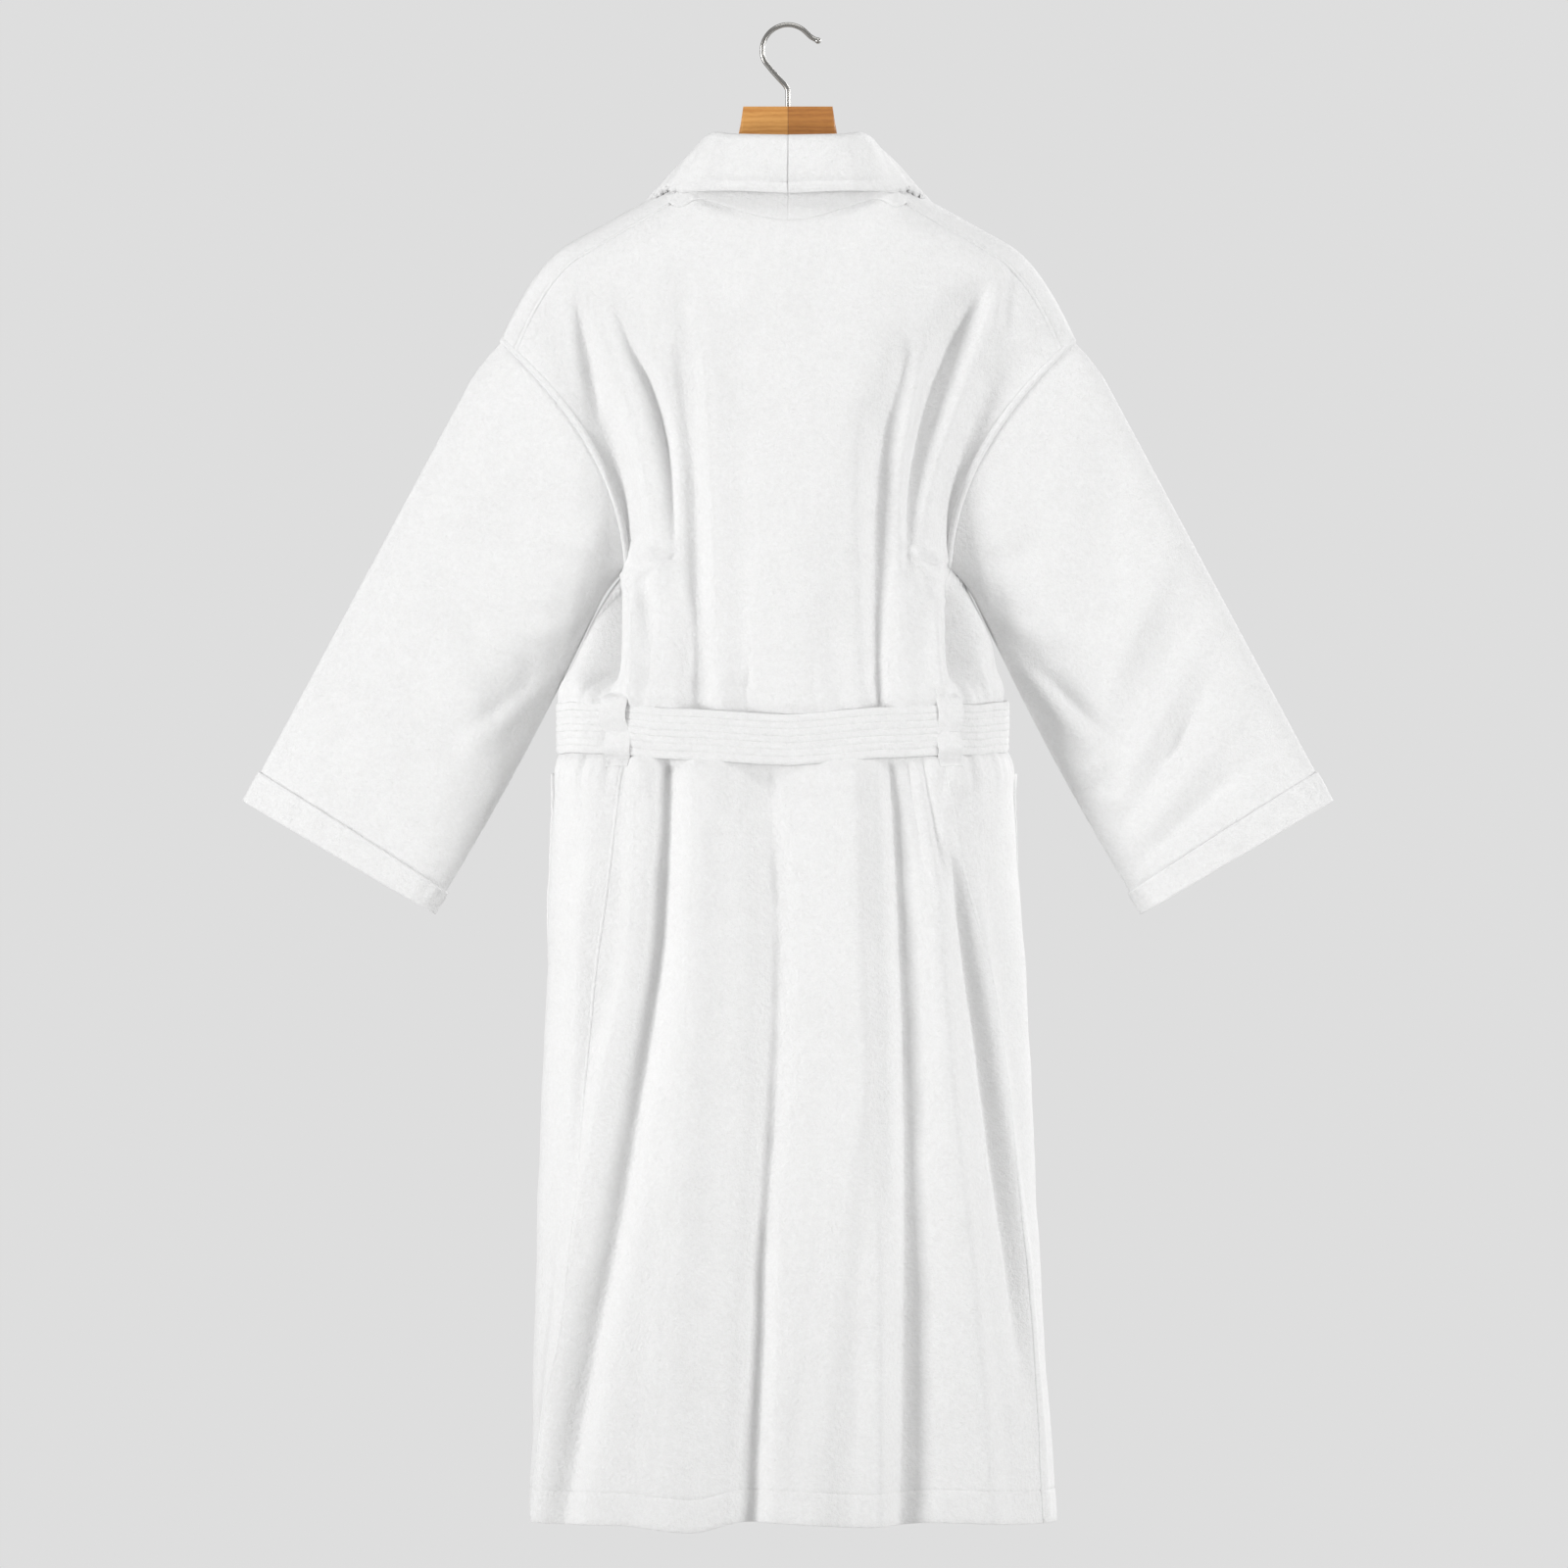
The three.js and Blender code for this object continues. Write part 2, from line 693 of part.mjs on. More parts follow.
// The top edge: level over the neck, a steep side, and then a smooth line that passes below the collar
// and comes up under the robe's shoulders.
const hangerNeckEnd = hangerNeckHalf + 7;
const hangerShoulder = through([
  [hangerNeckEnd, -hangerTop - 38],
  [neckHalf - 18, neckPoint - 13],
  ...[neckHalf + 30, shoulderTurn, hangerHalf].map((x) => [x, topLine(x) - cloth / 2 - hangerGap]),
]);
function hangerTopLine(x) {
  if (x < hangerNeckHalf) return -hangerTop;
  const along = clamp((x - hangerNeckHalf) / (hangerNeckEnd - hangerNeckHalf));
  if (along < 1) return mix(-hangerTop, hangerShoulder(hangerNeckEnd), along ** 0.8);
  return hangerShoulder(x);
}

function hangerBottomLine(x) {
  const neckBottom = -hangerTop - hangerNeckHeight;
  const slim = mix(38, hangerTipHeight, clamp(x / hangerHalf));
  return mix(neckBottom, hangerTopLine(x) - slim, ease(x / (neckHalf + 4)));
}

const stemHole = solid(
  new THREE.CylinderGeometry(
    wire / 2 + hookHoleClearance,
    wire / 2 + hookHoleClearance,
    hangerNeckHeight * 2,
    16,
  )
    .rotateX(quarter)
    .translate(0, 0, -hangerTop - hangerNeckHeight / 2),
);

// The arm's length in shares that put edges at the corners of the neck.
function hangerPlace(share) {
  if (share < 0.2) return mix(gluedGap / 2, hangerNeckHalf, share / 0.2);
  if (share < 0.32) return mix(hangerNeckHalf, hangerNeckEnd, (share - 0.2) / 0.12);
  return mix(hangerNeckEnd, hangerHalf, (share - 0.32) / 0.68);
}

function hangerArm(side) {
  const arm = slab(25, 4, 4, (u, v, w) => {
    const x = hangerPlace(u);
    const tip = 1 - clamp((x - hangerHalf + 12) / 12) ** 2 * 0.5;
    const high = hangerTopLine(x);
    const low = hangerBottomLine(x);
    const z = (high + low) / 2 + ((high - low) / 2) * tip * (1 - 2 * v);
    const thick = mix(hangerNeckThick, hangerTipThick, ease(x / hangerHalf));
    const belly = 1 - 0.42 * Math.abs(1 - 2 * v) ** 3;
    const forward = shoulderSweep * (x / shoulderHalf) ** 2;
    return point(side * x, forward + (w * thick * belly * tip) / 2, z);
  });
  return geometryOf(solid(arm).subtract(stemHole));
}

// ---- Steel hook ----

// The wire rises from the hanger, leans back, bends round over the rail and ends in a ball.
function hookLine() {
  const radius = hookBendRadius;
  const centre = point(0, 0, wire / 2 - radius);
  const on = (degrees, out = 0) => {
    const angle = THREE.MathUtils.degToRad(degrees);
    const reach = radius + out;
    return centre.clone().add(point(reach * Math.cos(angle), 0, reach * Math.sin(angle)));
  };
  const bend = [203, 185, 165, 145, 125, 105, 90, 75, 58, 42].map((degrees) => on(degrees));
  const neckTop = -hookReach;
  return new THREE.CatmullRomCurve3(
    [
      point(0, 0, -hangerTop - hangerNeckHeight - nutHigh - 3),
      point(0, 0, -hangerTop),
      point(0, 0, neckTop),
      point(-2.2, 0, neckTop + 6),
      point(-8.5, 0, neckTop + 13),
      point(-15.5, 0, neckTop + 21),
      ...bend,
      on(30, 1),
      on(18, 5.4),
    ],
    false,
    "centripetal",
  );
}

function hookPiece() {
  const line = hookLine();
  const section = new THREE.Shape().absarc(0, 0, wire / 2, 0, Math.PI * 2);
  const rod = new THREE.ExtrudeGeometry(section, { extrudePath: line, steps: 56, curveSegments: 5 });
  const ball = new THREE.SphereGeometry(hookTip / 2, 10, 8);
  const end = line.getPoint(1);
  ball.translate(end.x, end.y, end.z);
  return geometryOf(solid(rod).add(solid(ball)));
}

// The nut turns with the hook under the hanger's neck.
function hookNut() {
  const bore = wire / 2 + 0.3;
  const profile = [
    [bore, 0],
    [nutWide / 2, 0],
    [nutWide / 2, nutHigh - 1],
    [nutWide / 2 - 1, nutHigh],
    [bore, nutHigh],
    [bore, 0],
  ].map(([r, h]) => new THREE.Vector2(r, h));
  const nut = new THREE.LatheGeometry(profile, 12);
  nut.rotateX(Math.PI / 2);
  nut.translate(0, 0, -hangerTop - hangerNeckHeight - nutHigh - 0.6);
  return nut;
}

// ---- Assembly ----

const robe = new THREE.Group();

robe.add(named("hook", hookPiece(), steel));
robe.add(named("hook_nut", hookNut(), steel));
robe.add(named("back_panel", sheet(backColumns, panelRows, cloth, backSurface), velour));
robe.add(named("back_hem", sheet(backColumns - 2, 1, turnedCloth, backHemSurface), velour));
robe.add(named("belt", belt, velour));
robe.add(named("hanging_loop", hangLoop, tape));
robe.add(named("neck_label", label, tape));

const knot = named("belt_knot", knotShape(), velour);
knot.position.copy(knotMiddle);
robe.add(knot);

for (const [hand, side] of [
  ["left", -1],
  ["right", 1],
]) {
  const front = frontPieces(side);
  robe.add(named(`${hand}_hanger_arm`, hangerArm(side), beech));
  robe.add(named(`${hand}_front_panel`, front.panel, velour));
  robe.add(named(`${hand}_front_hem`, front.turned, velour));
  robe.add(named(`${hand}_front_facing`, front.strip, velour));
  robe.add(named(`${hand}_collar`, collarHalf(side), velour));
  robe.add(named(`${hand}_pocket`, pocket(side), velour));
  robe.add(named(`${hand}_belt_loop`, beltLoop(side), velour));

  const arm = new THREE.Group();
  const { sleeve, cuff } = sleevePieces(side);
  arm.add(named(`${hand}_sleeve`, sleeve, velour));
  arm.add(named(`${hand}_cuff`, cuff, velour));
  arm.position.set(side * (shoulderHalf + sleeveClearance), 0, shoulderPoint);
  robe.add(arm);

  const tail = named(`${hand}_belt_tail`, beltTail, velour);
  tail.position.set(side * tailSpread, knotMiddle.y + 4, knotMiddle.z - knotHeight / 2 - 2);
  robe.add(tail);
}

export default robe;
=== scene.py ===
import math
import bmesh
import bpy
import numpy as np
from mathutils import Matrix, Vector


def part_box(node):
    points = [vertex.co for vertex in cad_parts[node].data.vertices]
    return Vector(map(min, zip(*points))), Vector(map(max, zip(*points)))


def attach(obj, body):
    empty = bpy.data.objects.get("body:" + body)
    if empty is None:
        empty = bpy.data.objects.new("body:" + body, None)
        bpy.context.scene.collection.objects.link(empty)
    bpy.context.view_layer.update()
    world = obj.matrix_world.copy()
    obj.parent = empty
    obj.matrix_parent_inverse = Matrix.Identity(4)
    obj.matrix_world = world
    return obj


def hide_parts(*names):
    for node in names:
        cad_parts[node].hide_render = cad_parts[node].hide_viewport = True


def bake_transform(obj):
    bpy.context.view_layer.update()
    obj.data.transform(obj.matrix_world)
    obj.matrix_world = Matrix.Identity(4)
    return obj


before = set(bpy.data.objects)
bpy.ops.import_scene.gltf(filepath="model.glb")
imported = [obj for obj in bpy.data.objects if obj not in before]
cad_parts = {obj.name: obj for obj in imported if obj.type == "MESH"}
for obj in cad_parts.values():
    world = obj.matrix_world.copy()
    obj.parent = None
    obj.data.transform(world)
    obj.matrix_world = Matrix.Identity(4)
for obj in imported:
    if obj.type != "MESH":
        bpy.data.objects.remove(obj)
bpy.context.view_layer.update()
mm = 0.001

# ---- Studio ----
# A long lens looks straight at the back of the robe as it hangs, against a plain pale grey.
# One wide soft light on each side and one above; the floor is a plain pale square well below the hem.
view_width = 1.44
view_distance = 14.0
robe_back = (-3.6 * mm, 0.0, -695 * mm)

camera_data = bpy.data.cameras.new("camera")
camera_data.sensor_width = 36
camera_data.lens = 36 * view_distance / view_width
camera_data.clip_end = 100
camera = bpy.data.objects.new("camera", camera_data)
camera.location = (robe_back[0], -view_distance, robe_back[2])
camera.rotation_euler = (math.pi / 2, 0, 0)
bpy.context.collection.objects.link(camera)
bpy.context.scene.camera = camera
bpy.context.scene.view_settings.view_transform = "Standard"

studio = bpy.data.worlds.new("studio")
studio.use_nodes = True
air = studio.node_tree
backdrop = air.nodes["Background"]
backdrop.inputs["Color"].default_value = (0.731, 0.731, 0.731, 1)
around = air.nodes.new("ShaderNodeBackground")
around.inputs["Color"].default_value = (0.731, 0.731, 0.731, 1)
around.inputs["Strength"].default_value = 0.52
seen = air.nodes.new("ShaderNodeLightPath")
either = air.nodes.new("ShaderNodeMixShader")
air.links.new(seen.outputs["Is Camera Ray"], either.inputs["Fac"])
air.links.new(around.outputs["Background"], either.inputs[1])
air.links.new(backdrop.outputs["Background"], either.inputs[2])
air.links.new(either.outputs["Shader"], air.nodes["World Output"].inputs["Surface"])
bpy.context.scene.world = studio


def soft_light(name, place, size, power):
    data = bpy.data.lights.new(name, "AREA")
    data.shape = "RECTANGLE"
    data.size, data.size_y = size
    data.energy = power
    lamp = bpy.data.objects.new(name, data)
    lamp.location = place
    towards = Vector(robe_back) - Vector(place)
    lamp.rotation_euler = towards.to_track_quat("-Z", "Y").to_euler()
    bpy.context.collection.objects.link(lamp)


soft_light("left_softbox", (-5.5, -3.0, -0.8), (1.4, 3.6), 275)
soft_light("right_softbox", (5.5, -2.9, -0.7), (1.4, 3.6), 215)
soft_light("top_softbox", (0.2, -1.4, 2.4), (2.4, 1.0), 30)
soft_light("front_softbox", (2.2, 3.4, 0.6), (1.6, 2.2), 90)


def plain_finish(name, colour, roughness):
    made = bpy.data.materials.new(name)
    made.use_nodes = True
    shader = made.node_tree.nodes["Principled BSDF"]
    shader.inputs["Base Color"].default_value = (*colour, 1)
    shader.inputs["Roughness"].default_value = roughness
    return made


floor_mesh = bpy.data.meshes.new("floor")
floor_half, floor_height = 2.4, -1.66
floor_mesh.from_pydata(
    [(x, y, floor_height) for x, y in ((-1, -1), (1, -1), (1, 1), (-1, 1))], [], [(0, 1, 2, 3)]
)
for corner in floor_mesh.vertices:
    corner.co.x *= floor_half
    corner.co.y *= floor_half
floor_object = bpy.data.objects.new("floor", floor_mesh)
floor_mesh.materials.append(plain_finish("pale floor", (0.74, 0.74, 0.735), 0.8))
bpy.context.collection.objects.link(floor_object)

# ---- Back of the robe ----
# One wide piece of white terry velour from the neck to the hem, cut with deep armholes. It hangs
# from the shoulders in long folds, is drawn in under the belt, and flares out below it.
# The turned-up hem is a strip of the same cloth inside its bottom edge, with one row of stitches.
shoulder_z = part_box("left_sleeve")[1].z
hem_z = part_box("back_panel")[0].z
side_length = shoulder_z - hem_z
quarter = math.pi / 2
cloth_thick = 4 * mm
armhole_drop = 207 * mm
shoulder_half = 262 * mm
neck_half = 112 * mm
neck_point, nape = -151 * mm, -175 * mm
waist_drop = 358 * mm
shoulder_seam = 11 * mm
hem_height = 30 * mm


def ease(t):
    t = np.clip(t, 0, 1)
    return t * t * (3 - 2 * t)


def mix(a, b, share):
    return a + (b - a) * share


def line_through(stops, unit=mm):
    """A smooth line through given stops, with no swing past them."""
    xs = np.array([stop[0] for stop in stops], float) * unit
    ys = np.array([stop[1] for stop in stops], float)
    wide = np.diff(xs)
    slope = np.diff(ys) / wide
    lean = np.concatenate([[slope[0]], (slope[1:] + slope[:-1]) / 2, [slope[-1]]])
    turning = slope[1:] * slope[:-1] <= 0
    lean[1:-1][turning] = 0
    small = 3 * np.minimum(np.abs(slope[1:]), np.abs(slope[:-1]))
    lean[1:-1] = np.clip(lean[1:-1], -small, small)

    def at(x):
        x = np.clip(x, xs[0], xs[-1])
        i = np.clip(np.searchsorted(xs, x) - 1, 0, len(wide) - 1)
        t = (x - xs[i]) / wide[i]
        return (
            ys[i] * (1 + 2 * t) * (1 - t) ** 2
            + ys[i + 1] * t * t * (3 - 2 * t)
            + wide[i] * (lean[i] * t * (1 - t) ** 2 - lean[i + 1] * t * t * (1 - t))
        )

    return at


left_half = line_through(
    [(207, 150), (245, 170), (285, 188), (333, 207), (347, 211), (362, 203), (388, 207), (412, 211.5),
     (500, 217), (590, 220), (770, 227), (950, 231.5), (1085, 236)])
right_half = line_through(
    [(207, 150), (245, 170), (275, 184), (310, 189), (333, 193), (347, 197), (362, 193), (388, 199),
     (412, 203), (500, 210), (590, 217), (770, 225), (950, 236), (1085, 245)])
depth_line = line_through(
    [(0, 46), (100, 58), (207, 64), (300, 70), (345, 74), (362, 70), (385, 76), (450, 84), (700, 93), (1085, 104)])


def half_width(side, drop):
    low = np.where(side < 0, left_half(drop), right_half(drop)) * mm
    high = 0.15 + 0.112 * (1 - np.clip(drop, 0, armhole_drop) / armhole_drop) ** 2
    return np.where(drop > armhole_drop, low, high)


def top_line(x):
    out = np.abs(x)
    neck = mix(nape, neck_point, ease(out / neck_half))
    past = np.clip((out - 0.2) / 0.062, 0, 1)
    slope = neck_point - 0.55 * (out - neck_half) - 0.0515 * past ** 2
    return np.where(out < neck_half, neck, slope)


hem_lobes = line_through(
    [(-3142, 0), (-2600, -5), (-2100, 2), (-1571, 1), (-1100, -2), (-700, -2), (-380, -8), (-165, 2), (20, 0),
     (300, -3), (560, 1), (1000, -2), (1571, -1), (2100, 3), (2700, -4), (3142, 0)])


def height_at(across, turn, drop):
    lift = top_line(across * shoulder_half) - shoulder_z
    lobe = hem_lobes((turn + math.pi) % (2 * math.pi) - math.pi) * mm
    return shoulder_z - drop + lift * (1 - ease(drop / armhole_drop)) + lobe * ease((drop - 0.75) / 0.33)


def body_at(turn, drop):
    """A point of the undraped body: turn 0 is the middle of the back, a quarter is the right side."""
    across = np.sin(turn)
    out = np.abs(across)
    height = height_at(across, turn, drop)
    set_in = ease(drop / 0.08) * (1 - ease((drop - 0.25) / 0.07))
    side_round = np.maximum(1 - out ** 3, 0) ** (0.5 + 0.28 * set_in)
    below = np.clip((top_line(across * shoulder_half) - height) / 0.04, 0, 1)
    crest = np.sqrt(1 - (1 - below) ** 2)
    neck = np.sqrt(np.maximum(1 - (out * shoulder_half / neck_half) ** 2, 0))
    armhole = np.sin(math.pi * np.clip(drop / armhole_drop, 0, 1)) ** 0.6 * 0.027
    deep = depth_line(drop) * mm * side_round * (crest + (1 - crest) * neck)
    deep = (deep ** 4 + (armhole * out ** 6) ** 4) ** 0.25
    forward = 0.022 * out ** 2 * (1 - ease(drop / waist_drop))
    y = forward + np.where(np.cos(turn) < 0, 1, -1) * deep
    return np.stack([across * half_width(np.sign(across), drop), y, height], -1)


# Each fold is a line down the cloth: height, place across, how far it stands out or goes in, and
# how wide it is towards the wearer's left and right.
back_folds = [
    # the deep crease from the left armhole, and the flap of cloth that leans over it
    [(-238, -167, 0, 6, 8), (-298, -145, -8, 5, 11), (-328, -132, -13, 5, 13), (-378, -119, -14, 5, 13),
     (-424, -111, -10, 5, 10), (-470, -107, -6, 6, 8), (-520, -105, -2, 6, 7), (-560, -104, 0, 6, 7)],
    [(-255, -182, 0, 14, 9), (-320, -152, 6, 18, 10), (-380, -131, 9, 17, 8), (-440, -121, 8, 14, 8),
     (-490, -115, 6, 14, 10), (-560, -110, 4, 14, 12), (-618, -108, 3, 14, 12), (-660, -106, 0, 12, 10)],
    [(-285, -105, 0, 8, 8), (-302, -101, -3, 8, 11), (-355, -94, -7, 11, 18), (-412, -89, -10, 12, 19),
     (-495, -86, -11, 13, 20), (-618, -84, -10, 13, 18), (-665, -84, 0, 11, 14)],
    [(-178, -108, 0, 11, 12), (-205, -103, 3, 10, 15), (-236, -87, 6, 10, 17), (-286, -76, 7, 10, 19),
     (-320, -71, 6, 10, 20), (-400, -69, 4, 11, 19), (-500, -64, 4, 11, 18), (-618, -58, 4, 11, 16), (-665, -58, 0, 10, 14)],
    [(-232, -203, 0, 6, 6), (-262, -194, -4, 6, 8), (-302, -184, -5, 6, 9), (-340, -175, -3, 6, 8), (-365, -170, 0, 6, 8)],
    [(-236, -212, 0, 7, 7), (-262, -207, 3, 8, 7), (-320, -191, 4, 11, 7), (-368, -182, 0, 10, 7)],
    # the broad soft hollows and swells over the shoulder blades
    [(-250, -41, 0, 22, 24), (-330, -42, -5, 22, 24), (-450, -41, -6, 19, 20), (-550, -42, -7, 17, 18), (-618, -40, -8, 15, 16), (-660, -40, 0, 14, 14)],
    [(-280, 22, 0, 28, 28), (-400, 22, 3, 26, 26), (-550, 16, 5, 22, 22), (-618, 12, 5, 20, 20), (-660, 12, 0, 20, 20)],
    [(-290, 60, 0, 20, 14), (-400, 62, 4, 20, 12), (-500, 63, 5, 17, 11), (-618, 66, 5, 14, 10), (-660, 66, 0, 12, 9)],
    # the wide crease from the right armhole, the band beside it and the narrow fold between them
    [(-232, 184, 0, 10, 8), (-247, 176, -7, 14, 7), (-274, 164, -15, 17, 7), (-309, 150, -18, 18, 7), (-344, 136, -17, 16, 7),
     (-390, 121, -12, 13, 6), (-436, 111, -8, 10, 6), (-481, 107, -4, 8, 6), (-530, 106, 0, 8, 6)],
    [(-280, 112, 0, 10, 8), (-298, 109, -5, 11, 7), (-332, 103, -8, 13, 7), (-366, 93, -12, 18, 10), (-412, 86, -12, 19, 11),
     (-495, 82, -11, 20, 12), (-560, 81, -10, 19, 12), (-618, 81, -9, 17, 12), (-665, 82, 0, 14, 11)],
    [(-290, 132, 0, 9, 9), (-350, 114, 4, 7, 8), (-400, 104, 5, 7, 9), (-480, 101, 4, 8, 11), (-605, 102, 3, 9, 12), (-660, 102, 0, 9, 12)],
    [(-250, 196, 0, 9, 14), (-320, 162, 6, 8, 19), (-380, 138, 8, 7, 18), (-440, 124, 7, 8, 14), (-490, 119, 5, 10, 13),
     (-560, 117, 3, 12, 13), (-618, 116, 3, 12, 13), (-660, 116, 0, 12, 12)],
    [(-218, 208, 0, 6, 6), (-232, 205, -3, 6, 7), (-262, 200, -3, 6, 7), (-285, 196, 0, 6, 6)],
    # the hollows under the arms, where the side turns in behind the back
    [(-484, -150, 0, 10, 5), (-505, -156, -16, 18, 6), (-535, -160, -30, 24, 7), (-580, -162, -28, 26, 8), (-604, -164, -12, 24, 9), (-618, -164, 0, 22, 9)],
    [(-484, 143, 0, 5, 10), (-505, 149, -16, 6, 18), (-535, 152, -28, 7, 22), (-580, 154, -26, 8, 24), (-604, 156, -11, 9, 22), (-618, 156, 0, 9, 22)],
    [(-500, -136, 0, 5, 8), (-530, -139, 7, 5, 9), (-600, -140, 7, 5, 9), (-645, -140, 0, 6, 8)],
    [(-500, 129, 0, 8, 5), (-530, 132, 7, 9, 5), (-600, 135, 7, 9, 5), (-645, 136, 0, 8, 6)],
    # below the belt, from the left side to the right
    [(-655, -132, 0, 12, 12), (-684, -134, 5, 13, 13), (-842, -138, 8, 14, 14), (-961, -162, 9, 16, 14), (-1160, -196, 9, 16, 16), (-1372, -226, 5, 14, 16)],
    [(-655, -107, 0, 8, 9), (-684, -108, -9, 10, 11), (-842, -118, -12, 13, 14), (-1048, -148, -13, 16, 18), (-1239, -186, -12, 17, 22), (-1372, -208, -9, 16, 24)],
    [(-655, -80, 0, 10, 14), (-684, -79, 8, 12, 16), (-842, -84, 9, 14, 18), (-1000, -92, 10, 18, 20), (-1160, -104, 11, 22, 24), (-1372, -112, 12, 28, 28)],
    [(-650, -22, 0, 22, 22), (-684, -20, -14, 23, 24), (-842, -11, -16, 21, 22), (-985, -15, -16, 19, 20), (-1096, -22, -17, 18, 17), (-1239, -27, -19, 20, 15), (-1372, -32, -20, 22, 14)],
    [(-655, 55, 0, 16, 15), (-684, 56, 8, 18, 15), (-842, 62, 10, 18, 15), (-961, 66, 11, 18, 15), (-1048, 56, 11, 18, 18), (-1207, 38, 13, 18, 22), (-1372, 20, 14, 18, 24)],
    [(-1000, 74, 0, 12, 10), (-1100, 80, 6, 13, 9), (-1372, 82, 11, 14, 9)],
    [(-650, 92, 0, 7, 9), (-684, 94, -9, 8, 12), (-787, 100, -13, 10, 16), (-921, 106, -14, 11, 20), (-1080, 108, -15, 11, 22), (-1239, 106, -15, 11, 24), (-1372, 104, -15, 11, 26)],
    [(-700, 128, 0, 10, 10), (-842, 136, 6, 12, 12), (-985, 148, 8, 16, 13), (-1160, 166, 9, 20, 14), (-1372, 184, 9, 26, 18)],
    [(-740, 148, 0, 7, 7), (-800, 154, -8, 9, 9), (-921, 172, -11, 11, 10), (-1048, 190, -11, 12, 10), (-1144, 203, -9, 12, 10), (-1260, 214, 0, 12, 10)],
    [(-760, 167, 0, 8, 8), (-842, 178, 5, 9, 8), (-985, 196, 6, 10, 8), (-1160, 218, 6, 10, 8), (-1372, 236, 3, 10, 8)],
    [(-655, 107, 0, 5, 5), (-684, 111, -5, 5, 6), (-740, 120, -4, 5, 6), (-820, 132, 0, 6, 6)],
    [(-655, 121, 0, 5, 5), (-684, 125, -4, 5, 6), (-740, 134, -4, 5, 6), (-800, 143, 0, 6, 6)],
    [(-690, -176, 0, 10, 12), (-800, -186, 3, 10, 12), (-1000, -196, 4, 10, 12), (-1200, -212, 3, 10, 12), (-1372, -228, 3, 12, 14)],
]

# The front folds fan up from the knot to the lapels and fall straight below it.
front_folds = [
    [(-470, -150, 0, 9, 9), (-540, -132, -7, 8, 10), (-600, -108, -8, 8, 10), (-655, -98, 0, 8, 8)],
    [(-440, -120, 0, 10, 10), (-520, -112, 5, 10, 9), (-600, -88, 6, 9, 9), (-655, -80, 0, 9, 9)],
    [(-470, 150, 0, 9, 9), (-540, 134, -7, 10, 8), (-600, 112, -8, 10, 8), (-655, 100, 0, 8, 8)],
    [(-440, 122, 0, 10, 10), (-520, 114, 5, 9, 10), (-600, 92, 6, 9, 9), (-655, 84, 0, 9, 9)],
    [(-655, -52, 0, 12, 14), (-720, -56, -9, 12, 15), (-900, -62, -12, 14, 16), (-1150, -70, -13, 16, 18), (-1372, -84, -15, 20, 20)],
    [(-655, -92, 0, 12, 12), (-760, -98, 5, 14, 14), (-950, -108, 7, 16, 16), (-1372, -132, 10, 20, 20)],
    [(-860, -160, 0, 12, 12), (-960, -165, -7, 12, 13), (-1150, -172, -9, 14, 14), (-1372, -182, -11, 16, 16)],
    [(-655, 4, 0, 14, 14), (-760, 2, 6, 15, 15), (-1000, -6, 8, 17, 17), (-1372, -20, 11, 22, 20)],
    [(-655, 92, 0, 10, 12), (-740, 96, -8, 10, 13), (-950, 104, -11, 12, 15), (-1372, 120, -14, 17, 18)],
    [(-860, 142, 0, 12, 12), (-980, 150, 6, 14, 14), (-1372, 164, 9, 18, 18)],
    [(-860, 186, 0, 9, 9), (-980, 190, -6, 10, 10), (-1372, 202, -8, 12, 12)],
]


def drop_at(x, z):
    """How far down the cloth a place lies that is given by its place across and its height."""
    drop = max(shoulder_z - z, 0.0)
    for _ in range(60):
        across = np.clip(x / half_width(np.sign(x), max(drop, 0.0)), -1, 1)
        drop += float(height_at(across, 0.0, max(drop, 0.0)) - z) / 2
    return max(drop, 0.0)


def fold_lines(stops, on_back):
    drops = [(drop_at(x * mm, z * mm) / mm, x) for z, x, *_ in stops]
    rest = [line_through([(d[0], stop[i]) for d, stop in zip(drops, stops)]) for i in (2, 3, 4)]
    return line_through(drops), rest, on_back, drops[0][0] * mm, drops[-1][0] * mm


all_folds = [fold_lines(stops, True) for stops in back_folds]
all_folds += [fold_lines(stops, False) for stops in front_folds]

# Short tucks where the cloth bunches: place across, height, how long, how wide, lean and how far out.
back_tucks = [
    (-126, -483, 20, 4, 0.35, 6), (-119, -494, 16, 4, 0.5, -6), (-112, -505, 18, 5, 0.9, 5), (-140, -470, 18, 5, 0.6, -4),
    (122, -484, 18, 4, -0.4, 6), (132, -494, 18, 4, -0.6, -6), (142, -501, 18, 5, -0.5, 6), (126, -514, 18, 5, -0.9, -5),
    (-60, -604, 6, 4, 1.5, 2), (-30, -600, 26, 5, 1.5, 2), (30, -602, 24, 5, 1.5, 2), (-140, -604, 20, 6, 1.4, 4),
    (140, -606, 20, 6, 1.7, 4), (-180, -620, 22, 7, 1.9, 5), (150, -690, 30, 5, 1.4, 3), (-130, -688, 30, 5, 1.7, 3),
]


def ripple(a, b, scale):
    """The small unevenness of soft heavy cloth, about one unit high."""
    a, b = a / scale, b / scale
    return (
        np.sin(2.1 * a + 0.7 * b + 0.4) * np.sin(1.3 * b - 0.6 * a + 1.9)
        + 0.6 * np.sin(3.7 * a - 1.1 * b + 2.2) * np.sin(2.3 * b + 0.9 * a + 0.3)
        + 0.35 * np.sin(6.1 * a + 1.7 * b + 5.1) * np.sin(4.3 * b + 1.2)
    )


